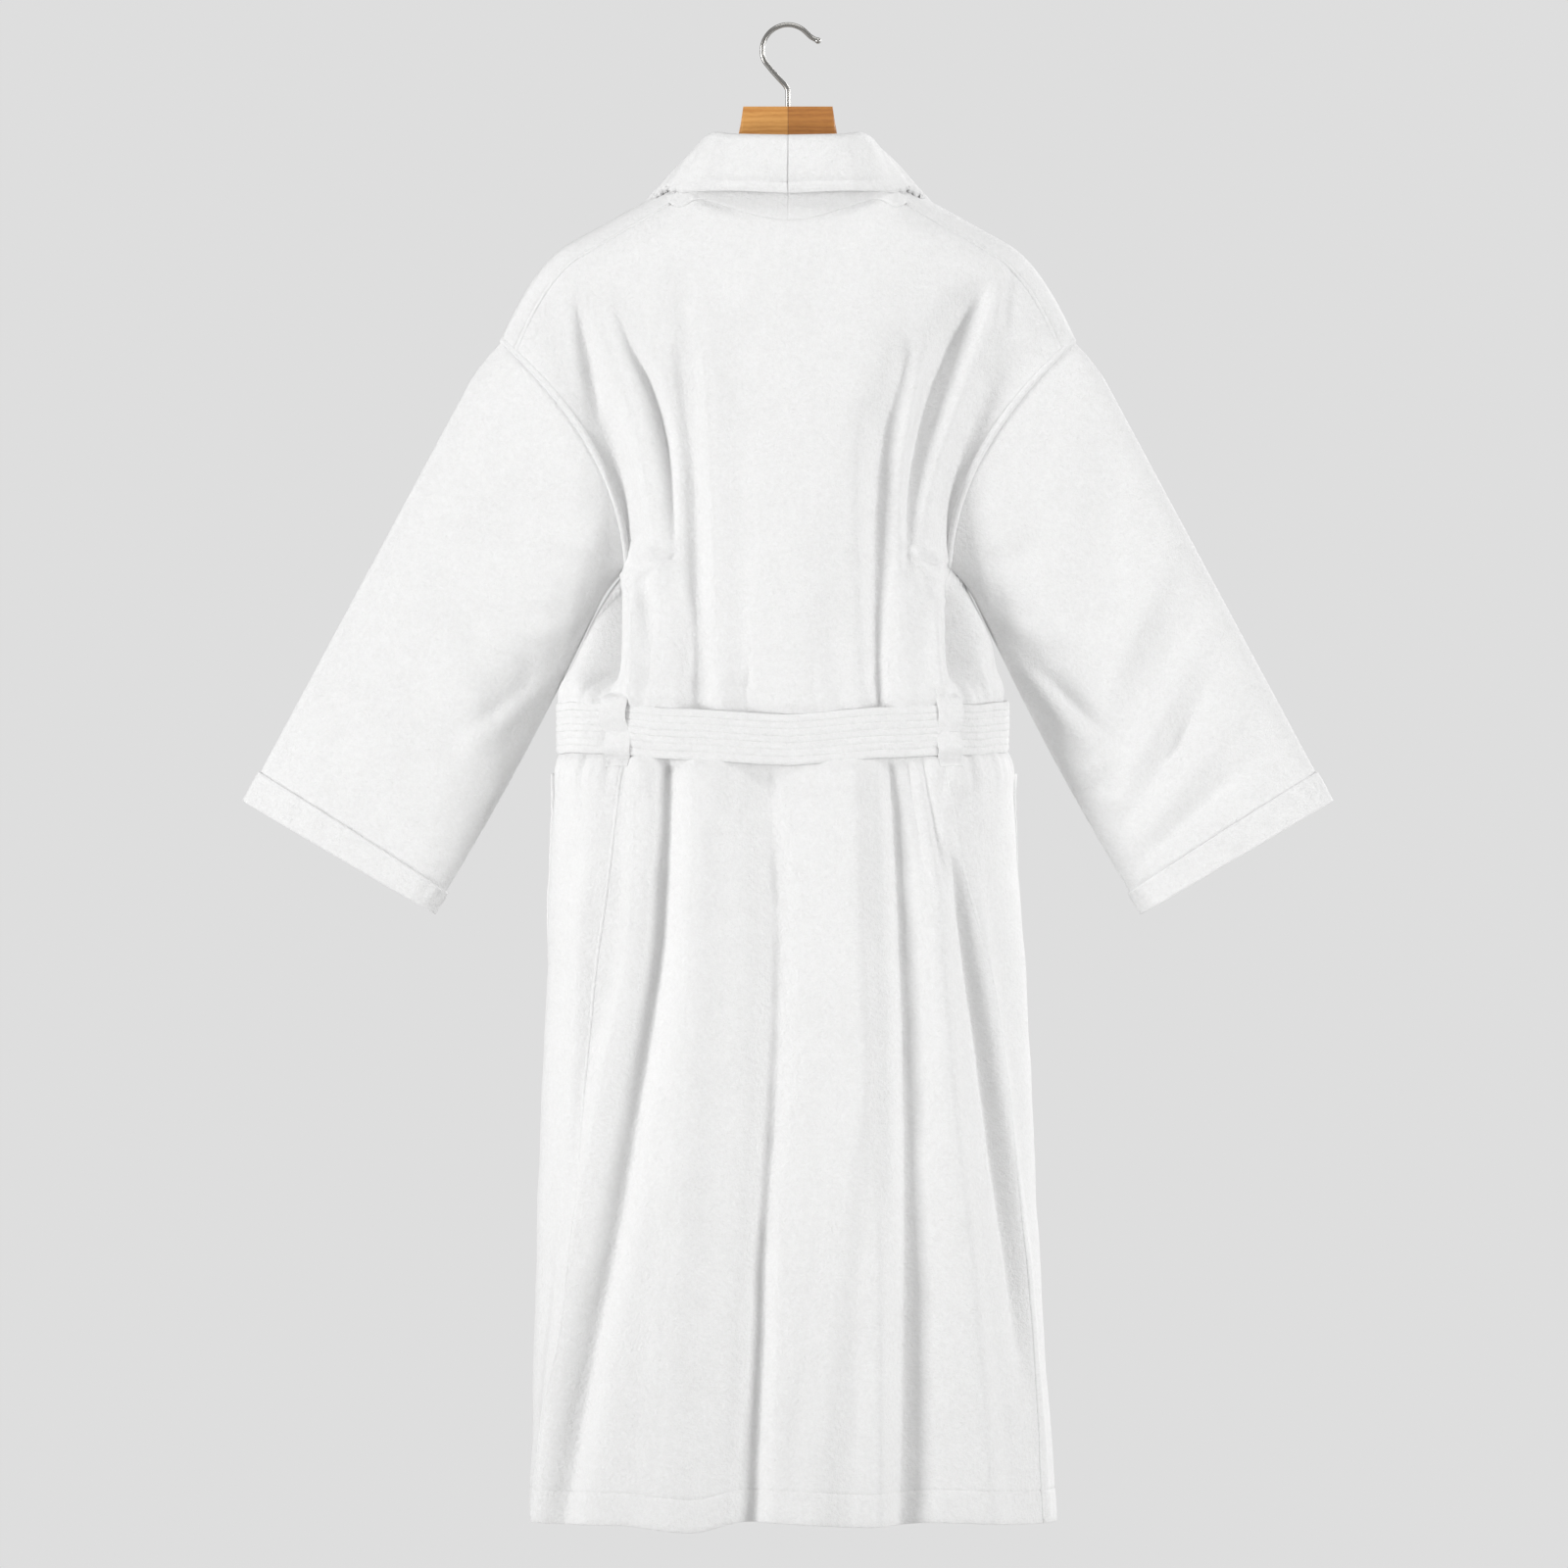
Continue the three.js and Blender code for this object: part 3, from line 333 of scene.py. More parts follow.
def drape(turn, drop):
    """How far the folds carry the cloth out from the undraped body."""
    turn = (turn + math.pi) % (2 * math.pi) - math.pi
    moved = np.zeros(np.broadcast(turn, drop).shape)
    for place, (deep, left, right), on_back, start, end in all_folds:
        x = place(drop) * mm
        wide = half_width(np.sign(x), drop)
        middle = np.arcsin(np.clip(x / wide, -0.999, 0.999))
        if not on_back:
            middle = np.sign(x + 1e-9) * math.pi - middle
        scale = np.hypot(wide * np.cos(middle), 1.22 * depth_line(drop) * mm * np.sin(middle))
        away = ((turn - middle + math.pi) % (2 * math.pi) - math.pi) * scale
        width = np.where(away < 0, left(drop), right(drop)) * mm
        inside = (drop >= start) & (drop <= end + 0.02)
        moved += np.where(inside, deep(drop), 0) * mm * np.exp(-np.abs(away / width) ** 1.9)
    x = np.sin(turn) * half_width(np.sign(turn), drop)
    z = height_at(np.sin(turn), 0.0, drop)
    on_back = np.cos(turn) > 0
    for cx, cz, long, wide, lean, out in back_tucks:
        dx, dz = x - cx * mm, z - cz * mm
        along = dx * math.cos(lean) + dz * math.sin(lean)
        over = -dx * math.sin(lean) + dz * math.cos(lean)
        bump = np.exp(-(along / (long * mm)) ** 2 - (over / (wide * mm)) ** 2)
        moved += np.where(on_back, out * mm * bump, 0)
    # small gathers above and below the belt
    belt_z = -643 * mm - 11 * mm * np.cos(turn) ** 2
    from_belt = np.abs(z - belt_z)
    gathers = np.sin(37 * turn + 0.6) + 0.8 * np.sin(61 * turn + 2.1) + 0.6 * np.sin(23 * turn + 4.0)
    moved += 0.7 * mm * gathers * np.exp(-((from_belt - 0.026) / 0.028) ** 2)
    # swell above and below the belt, pressed flat behind it
    moved += 4.5 * mm * np.exp(-((z - belt_z - 0.036) / 0.013) ** 2)
    moved += 3.5 * mm * np.exp(-((z - belt_z + 0.038) / 0.016) ** 2)
    pressed = np.exp(-(from_belt / 0.0235) ** 6)
    moved = mix(moved, np.clip(moved * 0.35, -0.006, 0.0012), pressed)
    moved += 0.7 * mm * ripple(x, z, 0.045) * (1 - pressed) * ease(drop / 0.05)
    # held still where the sleeve is sewn in
    to_armhole = (1 - np.abs(np.sin(turn))) * half_width(np.sign(turn), drop)
    return moved * np.where(drop < armhole_drop, ease(to_armhole / 0.016), 1)


def skin(turn, drop, out=0.0, inner=0.0, front=False):
    """The draped cloth at a turn and a drop, moved out along the way it faces."""
    turn, drop = np.broadcast_arrays(np.asarray(turn, float), np.asarray(drop, float))

    def bare(turn, drop):
        if not front:
            edge = np.clip(turn, -quarter + 1e-5, quarter - 1e-5)
            return body_at(np.where(drop < armhole_drop, edge, turn), np.abs(drop))
        size, hand = np.abs(turn), np.sign(turn)
        size = np.where(drop < armhole_drop, np.maximum(size, quarter + 1e-5), size)
        behind = (drop < 0) & (size > quarter)
        made = body_at(hand * np.where(behind, 2 * quarter - size, size), np.abs(drop))
        if inner:
            layer = np.where(
                drop < 0.3,
                17 * ease(np.clip(drop, 0, 1) / armhole_drop / 0.75),
                17 + (9.5 - 17) * ease((drop - 0.3) / 0.04),
            )
            made[..., 1] -= layer * mm * ease((size / quarter - 1.12) / 0.4)
        return made

    h = 4e-4
    across = bare(turn + h, drop) - bare(turn - h, drop)
    down = bare(turn, drop + h) - bare(turn, drop - h)
    normal = np.cross(down, across)
    normal /= np.maximum(np.linalg.norm(normal, axis=-1, keepdims=True), 1e-12)
    lift = drape(turn, np.abs(drop)) * ease((drop + 0.002) / 0.03)
    return bare(turn, drop) + normal * (lift + out)[..., None]


def rolled_stations(cells, edge):
    """Even places from 0 to 1, with a few close to each end where the cloth's edge is rolled."""
    close = np.array([0, 0.12, 0.4]) * edge
    return np.concatenate([close, np.linspace(edge, 1 - edge, cells), 1 - close[::-1]])


def rolled(count):
    """How full the cloth is at each of those places."""
    full = np.ones(count)
    full[:3] = full[-1:-4:-1] = (0.3, 0.68, 0.92)
    return full


def make_cloth(name, middle, thick, finish, closed_round=False, roll_rows=True, roll_columns=True, smooth=True, butted=False):
    """A closed mesh of cloth round the surface of its middle, given as rows and columns of points."""
    rows, columns = middle.shape[:2]
    if closed_round:
        across = np.roll(middle, -1, 1) - np.roll(middle, 1, 1)
    else:
        across = np.gradient(middle, axis=1)
    down = np.gradient(middle, axis=0)
    normal = np.cross(across, down)
    normal /= np.maximum(np.linalg.norm(normal, axis=2, keepdims=True), 1e-12)
    half = np.full((rows, columns), thick / 2)
    if roll_rows:
        full = rolled(rows)
        if butted:
            full[:3] = (0.84, 0.92, 0.98)
        half *= full[:, None]
    if roll_columns and not closed_round:
        half *= rolled(columns)[None, :]
    points = np.concatenate([(middle + normal * half[..., None]).reshape(-1, 3),
                             (middle - normal * half[..., None]).reshape(-1, 3)])
    number = np.arange(rows * columns).reshape(rows, columns)
    if closed_round:
        number = np.concatenate([number, number[:, :1]], 1)
    quads = np.stack([number[:-1, :-1], number[:-1, 1:], number[1:, 1:], number[1:, :-1]], -1).reshape(-1, 4)
    back = quads[:, ::-1] + rows * columns

    def rim(edge):
        return np.stack([edge[:-1], edge[1:], edge[1:] + rows * columns, edge[:-1] + rows * columns], -1)

    rims = [rim(number[0])[:, ::-1], rim(number[-1])]
    if not closed_round:
        rims += [rim(number[:, 0]), rim(number[:, -1])[:, ::-1]]
    faces = np.concatenate([quads, back, *rims])
    mesh = bpy.data.meshes.new(name)
    mesh.vertices.add(len(points))
    mesh.vertices.foreach_set("co", points.astype(np.float32).ravel())
    mesh.loops.add(faces.size)
    mesh.loops.foreach_set("vertex_index", faces.ravel().astype(np.int32))
    mesh.polygons.add(len(faces))
    mesh.polygons.foreach_set("loop_start", np.arange(0, faces.size, 4, dtype=np.int32))
    mesh.update(calc_edges=True)
    mesh.validate()
    if smooth:
        mesh.polygons.foreach_set("use_smooth", np.ones(len(mesh.polygons), bool))
    shape = bmesh.new()
    shape.from_mesh(mesh)
    bmesh.ops.recalc_face_normals(shape, faces=shape.faces)
    shape.to_mesh(mesh)
    shape.free()
    mesh.materials.append(finish)
    piece = bpy.data.objects.new(name, mesh)
    bpy.context.collection.objects.link(piece)
    return piece


def node_group(name, inputs, outputs):
    made = bpy.data.node_groups.new(name, "ShaderNodeTree")
    for label, kind, value in inputs:
        socket = made.interface.new_socket(name=label, in_out="INPUT", socket_type=kind)
        socket.default_value = value
    for label, kind in outputs:
        made.interface.new_socket(name=label, in_out="OUTPUT", socket_type=kind)
    return made, made.nodes.new("NodeGroupInput"), made.nodes.new("NodeGroupOutput")


def texture(tree, kind, source, scale, **settings):
    made = tree.nodes.new(kind)
    made.inputs["Scale"].default_value = scale
    for label, value in settings.items():
        made.inputs[label].default_value = value
    tree.links.new(source, made.inputs["Vector"])
    return made


def sum_of(tree, terms):
    """Adds sockets, each by its own weight."""
    total = None
    for socket, weight in terms:
        part = tree.nodes.new("ShaderNodeMath")
        part.operation = "MULTIPLY_ADD"
        part.inputs[1].default_value = weight
        tree.links.new(socket, part.inputs[0])
        if total is None:
            part.inputs[2].default_value = 0
        else:
            tree.links.new(total, part.inputs[2])
        total = part.outputs[0]
    return total


# Terry velour: sheared loops a millimetre apart that lean in soft patches. Its colour is painted light
# and painted shade: lighter on the raised loops, darker where the pile lies low, with a little tone that differs at
# random.
pile, pile_in, pile_out = node_group(
    "terry pile",
    [("Light", "NodeSocketColor", (0.9, 0.9, 0.895, 1)), ("Shade", "NodeSocketColor", (0.8, 0.8, 0.795, 1))],
    [("Color", "NodeSocketColor"), ("Height", "NodeSocketFloat")],
)
pile_place = pile.nodes.new("ShaderNodeTexCoord").outputs["Object"]
tips = texture(pile, "ShaderNodeTexNoise", pile_place, 820, Detail=3.0, Roughness=0.7).outputs["Fac"]
tufts = texture(pile, "ShaderNodeTexNoise", pile_place, 260, Detail=2.0, Roughness=0.6).outputs["Fac"]
patches = texture(pile, "ShaderNodeTexNoise", pile_place, 62, Detail=3.0, Roughness=0.6).outputs["Fac"]
clouds = texture(pile, "ShaderNodeTexNoise", pile_place, 14, Detail=2.0, Roughness=0.5).outputs["Fac"]
pile.links.new(sum_of(pile, [(tips, 0.7), (tufts, 1.0), (patches, 0.45)]), pile_out.inputs["Height"])
# painted shade and painted light: the pile's colour runs from its shade tone to its light tone as the pile rises
lean = pile.nodes.new("ShaderNodeMapRange")
lean.inputs["From Min"].default_value = 0.36
lean.inputs["From Max"].default_value = 0.64
pile.links.new(sum_of(pile, [(tips, 0.4), (tufts, 0.35), (patches, 0.15), (clouds, 0.1)]), lean.inputs["Value"])
shade = pile.nodes.new("ShaderNodeMix")
shade.data_type = "RGBA"
pile.links.new(lean.outputs["Result"], shade.inputs["Factor"])
pile.links.new(pile_in.outputs["Shade"], shade.inputs["A"])
pile.links.new(pile_in.outputs["Light"], shade.inputs["B"])
pile.links.new(shade.outputs["Result"], pile_out.inputs["Color"])


def cloth_finish(name, light, shade, group, roughness, sheen, bump, distance):
    made = bpy.data.materials.new(name)
    made.use_nodes = True
    tree = made.node_tree
    shader = tree.nodes["Principled BSDF"]
    shader.inputs["Roughness"].default_value = roughness
    shader.inputs["Sheen Weight"].default_value = sheen
    shader.inputs["Sheen Roughness"].default_value = 0.45
    shader.inputs["Specular IOR Level"].default_value = 0.2
    effect = tree.nodes.new("ShaderNodeGroup")
    effect.node_tree = group
    effect.inputs["Light"].default_value = (*light, 1)
    effect.inputs["Shade"].default_value = (*shade, 1)
    raised = tree.nodes.new("ShaderNodeBump")
    raised.inputs["Strength"].default_value = bump
    raised.inputs["Distance"].default_value = distance
    tree.links.new(effect.outputs["Color"], shader.inputs["Base Color"])
    tree.links.new(effect.outputs["Height"], raised.inputs["Height"])
    tree.links.new(raised.outputs["Normal"], shader.inputs["Normal"])
    return made


# the two colours are the pile's painted light and painted shade, both of one white cloth
velour = cloth_finish("white terry velour", (0.876, 0.876, 0.876), (0.796, 0.794, 0.792), pile, 0.92, 0.25, 0.7, 1.7 * mm)

left_seam = line_through(
    [(207, 90), (239, 60), (282, 49), (358, 45.5), (401, 46), (500, 49), (590, 53), (680, 55), (815, 57), (932, 63), (1004, 71), (1085, 76)])
right_seam = line_through(
    [(207, 90), (239, 60), (282, 49), (358, 46.5), (401, 46), (455, 48), (518, 52.5), (590, 58), (770, 66), (950, 71), (1085, 71)])


def side_seam(side, drop):
    below = np.radians(np.where(side < 0, left_seam(drop), right_seam(drop)))
    return np.where(drop < armhole_drop, quarter, below)


def row_drops(cells, start, end, close_to=()):
    """Drops from start to end, closest at the top, with more rows by any line that is stitched."""
    drops = start + (end - start) * np.linspace(0, 1, cells) ** 1.35
    extra = [line + step * mm for line in close_to for step in (-4, -2, -1, 0, 1, 2, 4)]
    edge = [start + 0.4 * mm, start + 1.2 * mm, end - 1.2 * mm, end - 0.4 * mm]
    keep = drops[(drops < start + 0.01 * mm) | ((drops > start + 2 * mm) & (drops < end - 2 * mm)) | (drops > end - 0.01 * mm)]
    return np.unique(np.concatenate([keep, extra, edge]))


hem_line = side_length - hem_height


def stitched(drop, line, deep=0.9 * mm, wide=1.5 * mm):
    return -deep * np.exp(-((drop - line) / wide) ** 2)


neck_turn = math.asin(neck_half / shoulder_half)


def back_top(turn):
    return 12 * mm * ease((np.abs(turn) / neck_turn - 0.68) / 0.3)


def back_turns(stations, drop):
    """Turns across the back, from one side seam to the other, about evenly spaced."""
    share = stations * 2 - 1
    seam = side_seam(np.sign(share), drop)
    across = mix(np.sin(share * seam), share * np.sin(seam), 0.7)
    return np.arcsin(np.clip(across, -1, 1))


columns = rolled_stations(186, 0.003)[None, :]
drops = row_drops(225, 0, side_length, [hem_line])[:, None]
turns = back_turns(columns, drops)
top = back_top(turns)
drops = np.broadcast_to(drops, turns.shape)
drops = drops + top * (1 - ease(drops / 0.1))
neck_stitch = stitched(drops - top, 7 * mm, 0.5 * mm) * (np.abs(turns) < neck_turn)
back = make_cloth(
    "robe_back", skin(turns, drops, stitched(drops, hem_line) + neck_stitch), cloth_thick, velour)
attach(back, "robe")
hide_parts("back_panel")

strip_in = (cloth_thick + 2.4 * mm) / 2 + 0.6 * mm
drops = row_drops(12, hem_line, side_length - 0.5 * mm)[:, None]
turns = back_turns(rolled_stations(150, 0.003)[None, :] * 0.94 + 0.03, drops)
hem = make_cloth("robe_back_hem", skin(turns, drops, -strip_in), 2.4 * mm, velour)
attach(hem, "robe")
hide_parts("back_hem")

# ---- Fronts ----
# Two pieces, cut wider than the back so that the side seams lie behind, each lapping over the
# shoulder to its seam. The wearer's left front lies over the right. Each has a turned-up hem and a
# facing strip down its edge, of the same cloth.


def front_edge(drop):
    return mix(-neck_half, 0.06, np.clip(drop / 0.314, 0, 1))


def front_end(side, drop):
    edge = front_edge(np.maximum(drop, 0))
    own = 2 * quarter + np.arcsin(edge / half_width(side * np.sign(-edge), np.maximum(drop, 0)))
    return np.where(drop < 0, 2 * quarter - neck_turn, own)


for hand, side in (("left", -1), ("right", 1)):
    inner = float(side > 0)

    def front_turns(stations, drop):
        # the lap over the shoulder runs a little way in under the collar
        under_collar = 0.04 * ease(-drop / (5 * mm))
        return side * mix(side_seam(side, drop), front_end(side, drop) + under_collar, stations)

    drops = row_drops(210, -shoulder_seam, side_length, [hem_line])[:, None]
    turns = front_turns(rolled_stations(168, 0.004)[None, :], drops)
    drops = np.broadcast_to(drops, turns.shape)
    edge_stitch = stitched(np.abs(turns) - front_end(side, drops), -0.16, 0.8 * mm, 0.008) * ease((drops - 0.36) / 0.03)
    front = make_cloth(
        hand + "_front",
        skin(turns, drops, stitched(drops, hem_line) + edge_stitch, inner=inner, front=True),
        cloth_thick, velour)
    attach(front, "robe")
    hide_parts(hand + "_front_panel")

    drops = row_drops(12, hem_line, side_length - 0.5 * mm)[:, None]
    turns = front_turns(rolled_stations(110, 0.003)[None, :] * 0.78 + 0.06, drops)
    hem = make_cloth(
        hand + "_front_hem_strip", skin(turns, drops, -strip_in, inner=inner, front=True), 2.4 * mm, velour)
    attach(hem, "robe")
    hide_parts(hand + "_front_hem")

    drops = row_drops(150, 0.402, side_length - 0.5 * mm)[:, None]
    turns = front_turns(rolled_stations(16, 0.04)[None, :] * 0.138 + 0.861, drops)
    facing = make_cloth(
        hand + "_front_facing_strip", skin(turns, drops, -strip_in, inner=inner, front=True), 2.4 * mm, velour)
    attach(facing, "robe")
    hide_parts(hand + "_front_facing")

# ---- Sleeves and cuffs ----
# Wide straight sleeves, each a flattened tube of the same cloth set into the armhole with a raised
# seam, and a cuff band turned up and stitched at the wrist.
sleeve_top, cuff_across, cuff_slant = 485 * mm, 198 * mm, 8 * mm
lean_angle = math.radians(28.2)
cuff_height = 30 * mm
cuff_share = 1 - cuff_height / sleeve_top
clearance = 7 * mm

# Soft folds across a sleeve: how far along, how far across, lean, how long, how wide, how far out.
sleeve_folds = {
    -1: [(0.30, 0.80, 0.9, 70, 12, 6), (0.36, 0.66, 0.9, 75, 15, -4), (0.46, 0.88, 1.3, 70, 10, 5), (0.52, 0.78, 1.2, 60, 11, -4),
         (0.50, 0.36, -0.4, 80, 20, 4), (0.62, 0.42, -0.4, 75, 20, -4), (0.76, 0.50, -0.3, 75, 18, 3), (0.86, 0.45, -0.1, 70, 16, -3),
         (0.22, 0.52, 0.5, 60, 16, -4), (0.14, 0.66, 0.8, 45, 10, 5)],
    1: [(0.34, 0.73, 0.93, 75, 11, 8), (0.40, 0.60, 0.9, 60, 15, -5), (0.46, 0.88, 1.38, 80, 10, 8), (0.50, 0.79, 1.3, 60, 9, -7),
        (0.32, 0.27, -0.9, 60, 20, -6), (0.50, 0.38, -0.45, 80, 16, 8), (0.60, 0.34, -0.45, 70, 15, -5), (0.66, 0.46, -0.45, 75, 14, 6),
        (0.735, 0.52, -0.4, 70, 13, -7), (0.80, 0.50, -0.3, 75, 13, 6), (0.87, 0.52, -0.15, 70, 12, -6),
        (0.62, 0.92, 0.6, 20, 6, 6), (0.66, 0.95, 0.6, 20, 6, -6), (0.72, 0.88, 0.9, 40, 9, 4), (0.18, 0.66, 0.7, 45, 12, -5)],
}


def sleeve_at(side, angle, share, stand=0.0):
    """A point of the sleeve: angle 0 is under the arm and half a turn is its top edge."""
    angle, share = np.broadcast_arrays(np.asarray(angle, float), np.asarray(share, float))
    down = np.array([math.sin(lean_angle), 0, -math.cos(lean_angle)])
    over = np.array([-math.cos(lean_angle), 0, -math.sin(lean_angle)])
    away = np.sign(np.cos(angle)) * np.abs(np.cos(angle)) ** 0.82
    place = (1 + away) / 2

    def hole(place):
        drop = armhole_drop * place
        wide = 0.15 + 0.112 * (1 - place) ** 2 + clearance * ease(share / 0.10) - 3.0 * mm * (1 - ease(share / 0.05))
        forward = 0.022 * (1 - ease(drop / waist_drop))
        return np.stack(np.broadcast_arrays(wide, forward, -drop), -1)

    def wrist(place):
        start = np.array([shoulder_half + clearance, 14 * mm, 0])
        along = sleeve_top + cuff_slant * place
        return start + down * along[..., None] + over * (cuff_across * place)[..., None]

    made = mix(hole(place), wrist(place), share[..., None])
    bottom = mix(hole(np.ones_like(place)), wrist(np.ones_like(place)), share[..., None])
    upper = mix(hole(np.zeros_like(place)), wrist(np.zeros_like(place)), share[..., None])
    inward = bottom - upper
    width = np.linalg.norm(inward, axis=-1, keepdims=True)
    inward = inward / np.maximum(width, 1e-9)
    made = made + inward * (away * stand)[..., None]
    # the lower edge hangs a little fuller than the straight line of the seam
    belly = 6 * mm * np.sin(math.pi * np.clip(share, 0, 1)) * np.clip(away, 0, 1) ** 3
    made = made + inward * belly[..., None]
    deep = mix(27 * mm, 23 * mm, share) + stand
    # full in the middle, thin where the cloth folds over at its two edges
    face = np.sign(np.sin(angle)) * mix(np.abs(np.sin(angle)) ** 0.82, 1 - np.abs(away) ** 2, 0.25)
    lift = np.zeros(place.shape)
    middle_width = width[..., 0]
    for along, across, lean, long, wide, out in sleeve_folds[side]:
        dx = (place - across) * middle_width
        dz = (share - along) * sleeve_top
        run = dx * math.cos(lean) - dz * math.sin(lean)
        off = dx * math.sin(lean) + dz * math.cos(lean)
        lift += out * mm * np.exp(-(run / (long * mm)) ** 2 - (off / (wide * mm)) ** 2)
    lift += 1.0 * mm * ripple(place * middle_width + side, share * sleeve_top, 0.04)
    lift *= ease((share - 0.01) / 0.08) * (1 - 0.8 * ease((share - 0.86) / 0.08))
    start_face = np.sign(np.sin(angle)) * np.maximum(np.sin(math.pi * place), 0) ** 0.6
    made[..., 1] += mix(start_face, face, ease(share / 0.16)) * deep + face * lift
    made[..., 0] *= side
    made[..., 2] += shoulder_z
    return made


round_cells = 150
for hand, side in (("left", -1), ("right", 1)):
    angles = np.linspace(0, 2 * math.pi, round_cells, endpoint=False)[None, :]
    shares = rolled_stations(190, 0.004)[:, None]
    sleeve = make_cloth(
        hand + "_sleeve_tube", sleeve_at(side, angles, shares * (cuff_share + 0.004)), cloth_thick * 0.9, velour, closed_round=True)
    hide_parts(hand + "_sleeve")
    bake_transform(sleeve)

    shares = mix(cuff_share - 0.002, 1, rolled_stations(16, 0.05))[:, None]
    pucker = 0.7 * mm * np.sin(angles * 23 + 1) * np.exp(-((shares - cuff_share - 0.02) / 0.02) ** 2)
    cuff = make_cloth(
        hand + "_cuff_band", sleeve_at(side, angles, shares, 1.6 * mm + pucker), 5 * mm, velour, closed_round=True)
    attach(cuff, hand + "_sleeve")
    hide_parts(hand + "_cuff")

# ---- Seams and stitches ----
# The armhole and shoulder seams are felled: the allowance inside shows as a low round ridge with a
# row of stitches beside it. The side seams are plain.


def sweep_tube(name, points, radius, sides, finish, flat=1.0, facing=None, closed=False, twist=0.0, width=None):
    """A rod or cord along points, round or flattened towards a facing direction."""
    points = np.asarray(points, float)
    along = np.gradient(points, axis=0)
    if closed:
        along = np.roll(points, -1, 0) - np.roll(points, 1, 0)
    along /= np.linalg.norm(along, axis=1, keepdims=True)
    if facing is None:
        start = np.array([0.0, 1.0, 0.0])
        facing = np.zeros_like(points)
        now = start - along[0] * start.dot(along[0])
        for i, way in enumerate(along):
            now = now - way * now.dot(way)
            now /= np.linalg.norm(now)
            facing[i] = now
    else:
        facing = facing - along * (facing * along).sum(1, keepdims=True)
        facing /= np.linalg.norm(facing, axis=1, keepdims=True)
    beside = np.cross(along, facing)
    angle = np.linspace(0, 2 * math.pi, sides, endpoint=False)
    reach = np.broadcast_to(radius, len(points)) if width is None else width
    ring = (
        points[:, None]
        + beside[:, None] * (np.cos(angle)[None, :, None] * np.asarray(reach)[:, None, None])
        + facing[:, None] * (np.sin(angle)[None, :, None] * np.asarray(reach)[:, None, None] * flat)
    )
    count = len(points)
    number = np.arange(count * sides).reshape(count, sides)
    number = np.concatenate([number, number[:, :1]], 1)
    if closed:
        number = np.concatenate([number, number[:1]], 0)
    faces = [tuple(quad) for quad in np.stack(
        [number[:-1, :-1], number[:-1, 1:], number[1:, 1:], number[1:, :-1]], -1).reshape(-1, 4).tolist()]
    if not closed:
        faces += [tuple(range(sides))[::-1], tuple(range((count - 1) * sides, count * sides))]
    mesh = bpy.data.meshes.new(name)
    mesh.from_pydata(ring.reshape(-1, 3).tolist(), [], faces)
    for face in mesh.polygons:
        face.use_smooth = True
    mesh.materials.append(finish)
    piece = bpy.data.objects.new(name, mesh)
    bpy.context.collection.objects.link(piece)
    return piece


for hand, side in (("left", -1), ("right", 1)):
    angles = np.linspace(0, 2 * math.pi, 160, endpoint=False)
    ring = sleeve_at(side, angles, np.full(160, 0.008), 1.4 * mm)
    middle = ring.mean(0)
    seam = sweep_tube(
        hand + "_armhole_seam", ring, 3.4 * mm, 12, velour, flat=0.9, facing=ring - middle, closed=True)
    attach(seam, "robe")

    for name, start, end in (("_side_seam", armhole_drop + 4 * mm, waist_drop - 30 * mm),
                             ("_skirt_side_seam", waist_drop + 30 * mm, side_length - 3 * mm)):
        drop = np.linspace(start, end, 160)
        turn = side * side_seam(side, drop)
        seam_points = skin(turn, drop, 0.9 * mm)
        out = skin(turn, drop, 3 * mm) - seam_points
        seam = sweep_tube(hand + name, seam_points, 2.6 * mm, 8, velour, flat=0.6, facing=out)
        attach(seam, "robe")

    share = np.linspace(0.0, 1.0, 90)
    turn = mix(neck_turn * 1.0, quarter - 0.02, share)
    seam_points = skin(side * turn, np.full(90, shoulder_seam + 0.5 * mm), 1.0 * mm)
    out = skin(side * turn, np.full(90, shoulder_seam + 0.5 * mm), 3 * mm) - seam_points
    seam = sweep_tube(hand + "_shoulder_seam", seam_points, 2.2 * mm, 8, velour, flat=0.6, facing=out)
    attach(seam, "robe")

# ---- Shawl collar ----
# One long collar of doubled velour, seamed at the middle of the back. It stands from the neckline,
# rolls over and falls outside; in front it runs down both edges as the lapels, and ends above the belt.
lapel_end = 0.300
back_share = 0.36
collar_thick = 4.4 * mm


def rim_drop(share):
    run = np.clip((share - back_share) / (1 - back_share), 0, 1)
    return mix(-shoulder_seam, lapel_end, run ** 1.25)


def front_cloth(side, turn, drop):
    return skin(side * turn, drop, inner=float(side > 0), front=True)


def collar_rim(side, share):
    gap = 2.0 * mm
    turn = neck_turn * np.sin(quarter * np.clip(share / back_share, 0, 1))
    behind = skin(side * np.maximum(turn, 1e-3), back_top(turn) + 4 * mm * (1 - ease((share / back_share - 0.7) / 0.3)), 1.2 * mm)
    drop = rim_drop(share)
    ahead = front_cloth(side, front_end(side, drop), drop)
    front = ease((share - back_share) * 6)
    ahead[..., 0] -= side * mix(gap * 0.5, gap, front)
    ahead[..., 2] += mix(gap, gap * 0.3, front)
    return mix(behind, ahead, ease((share - back_share + 0.03) / 0.06)[..., None])


def outside_front(side, x, drop, stand):
    """A place standing off the outside of a front, x towards its own side."""
    turn = 2 * quarter - np.arcsin(np.clip(x / half_width(side, np.abs(drop)), -1, 1))
    at = skin(side * turn, drop, stand, inner=float(side > 0), front=True)
    return at


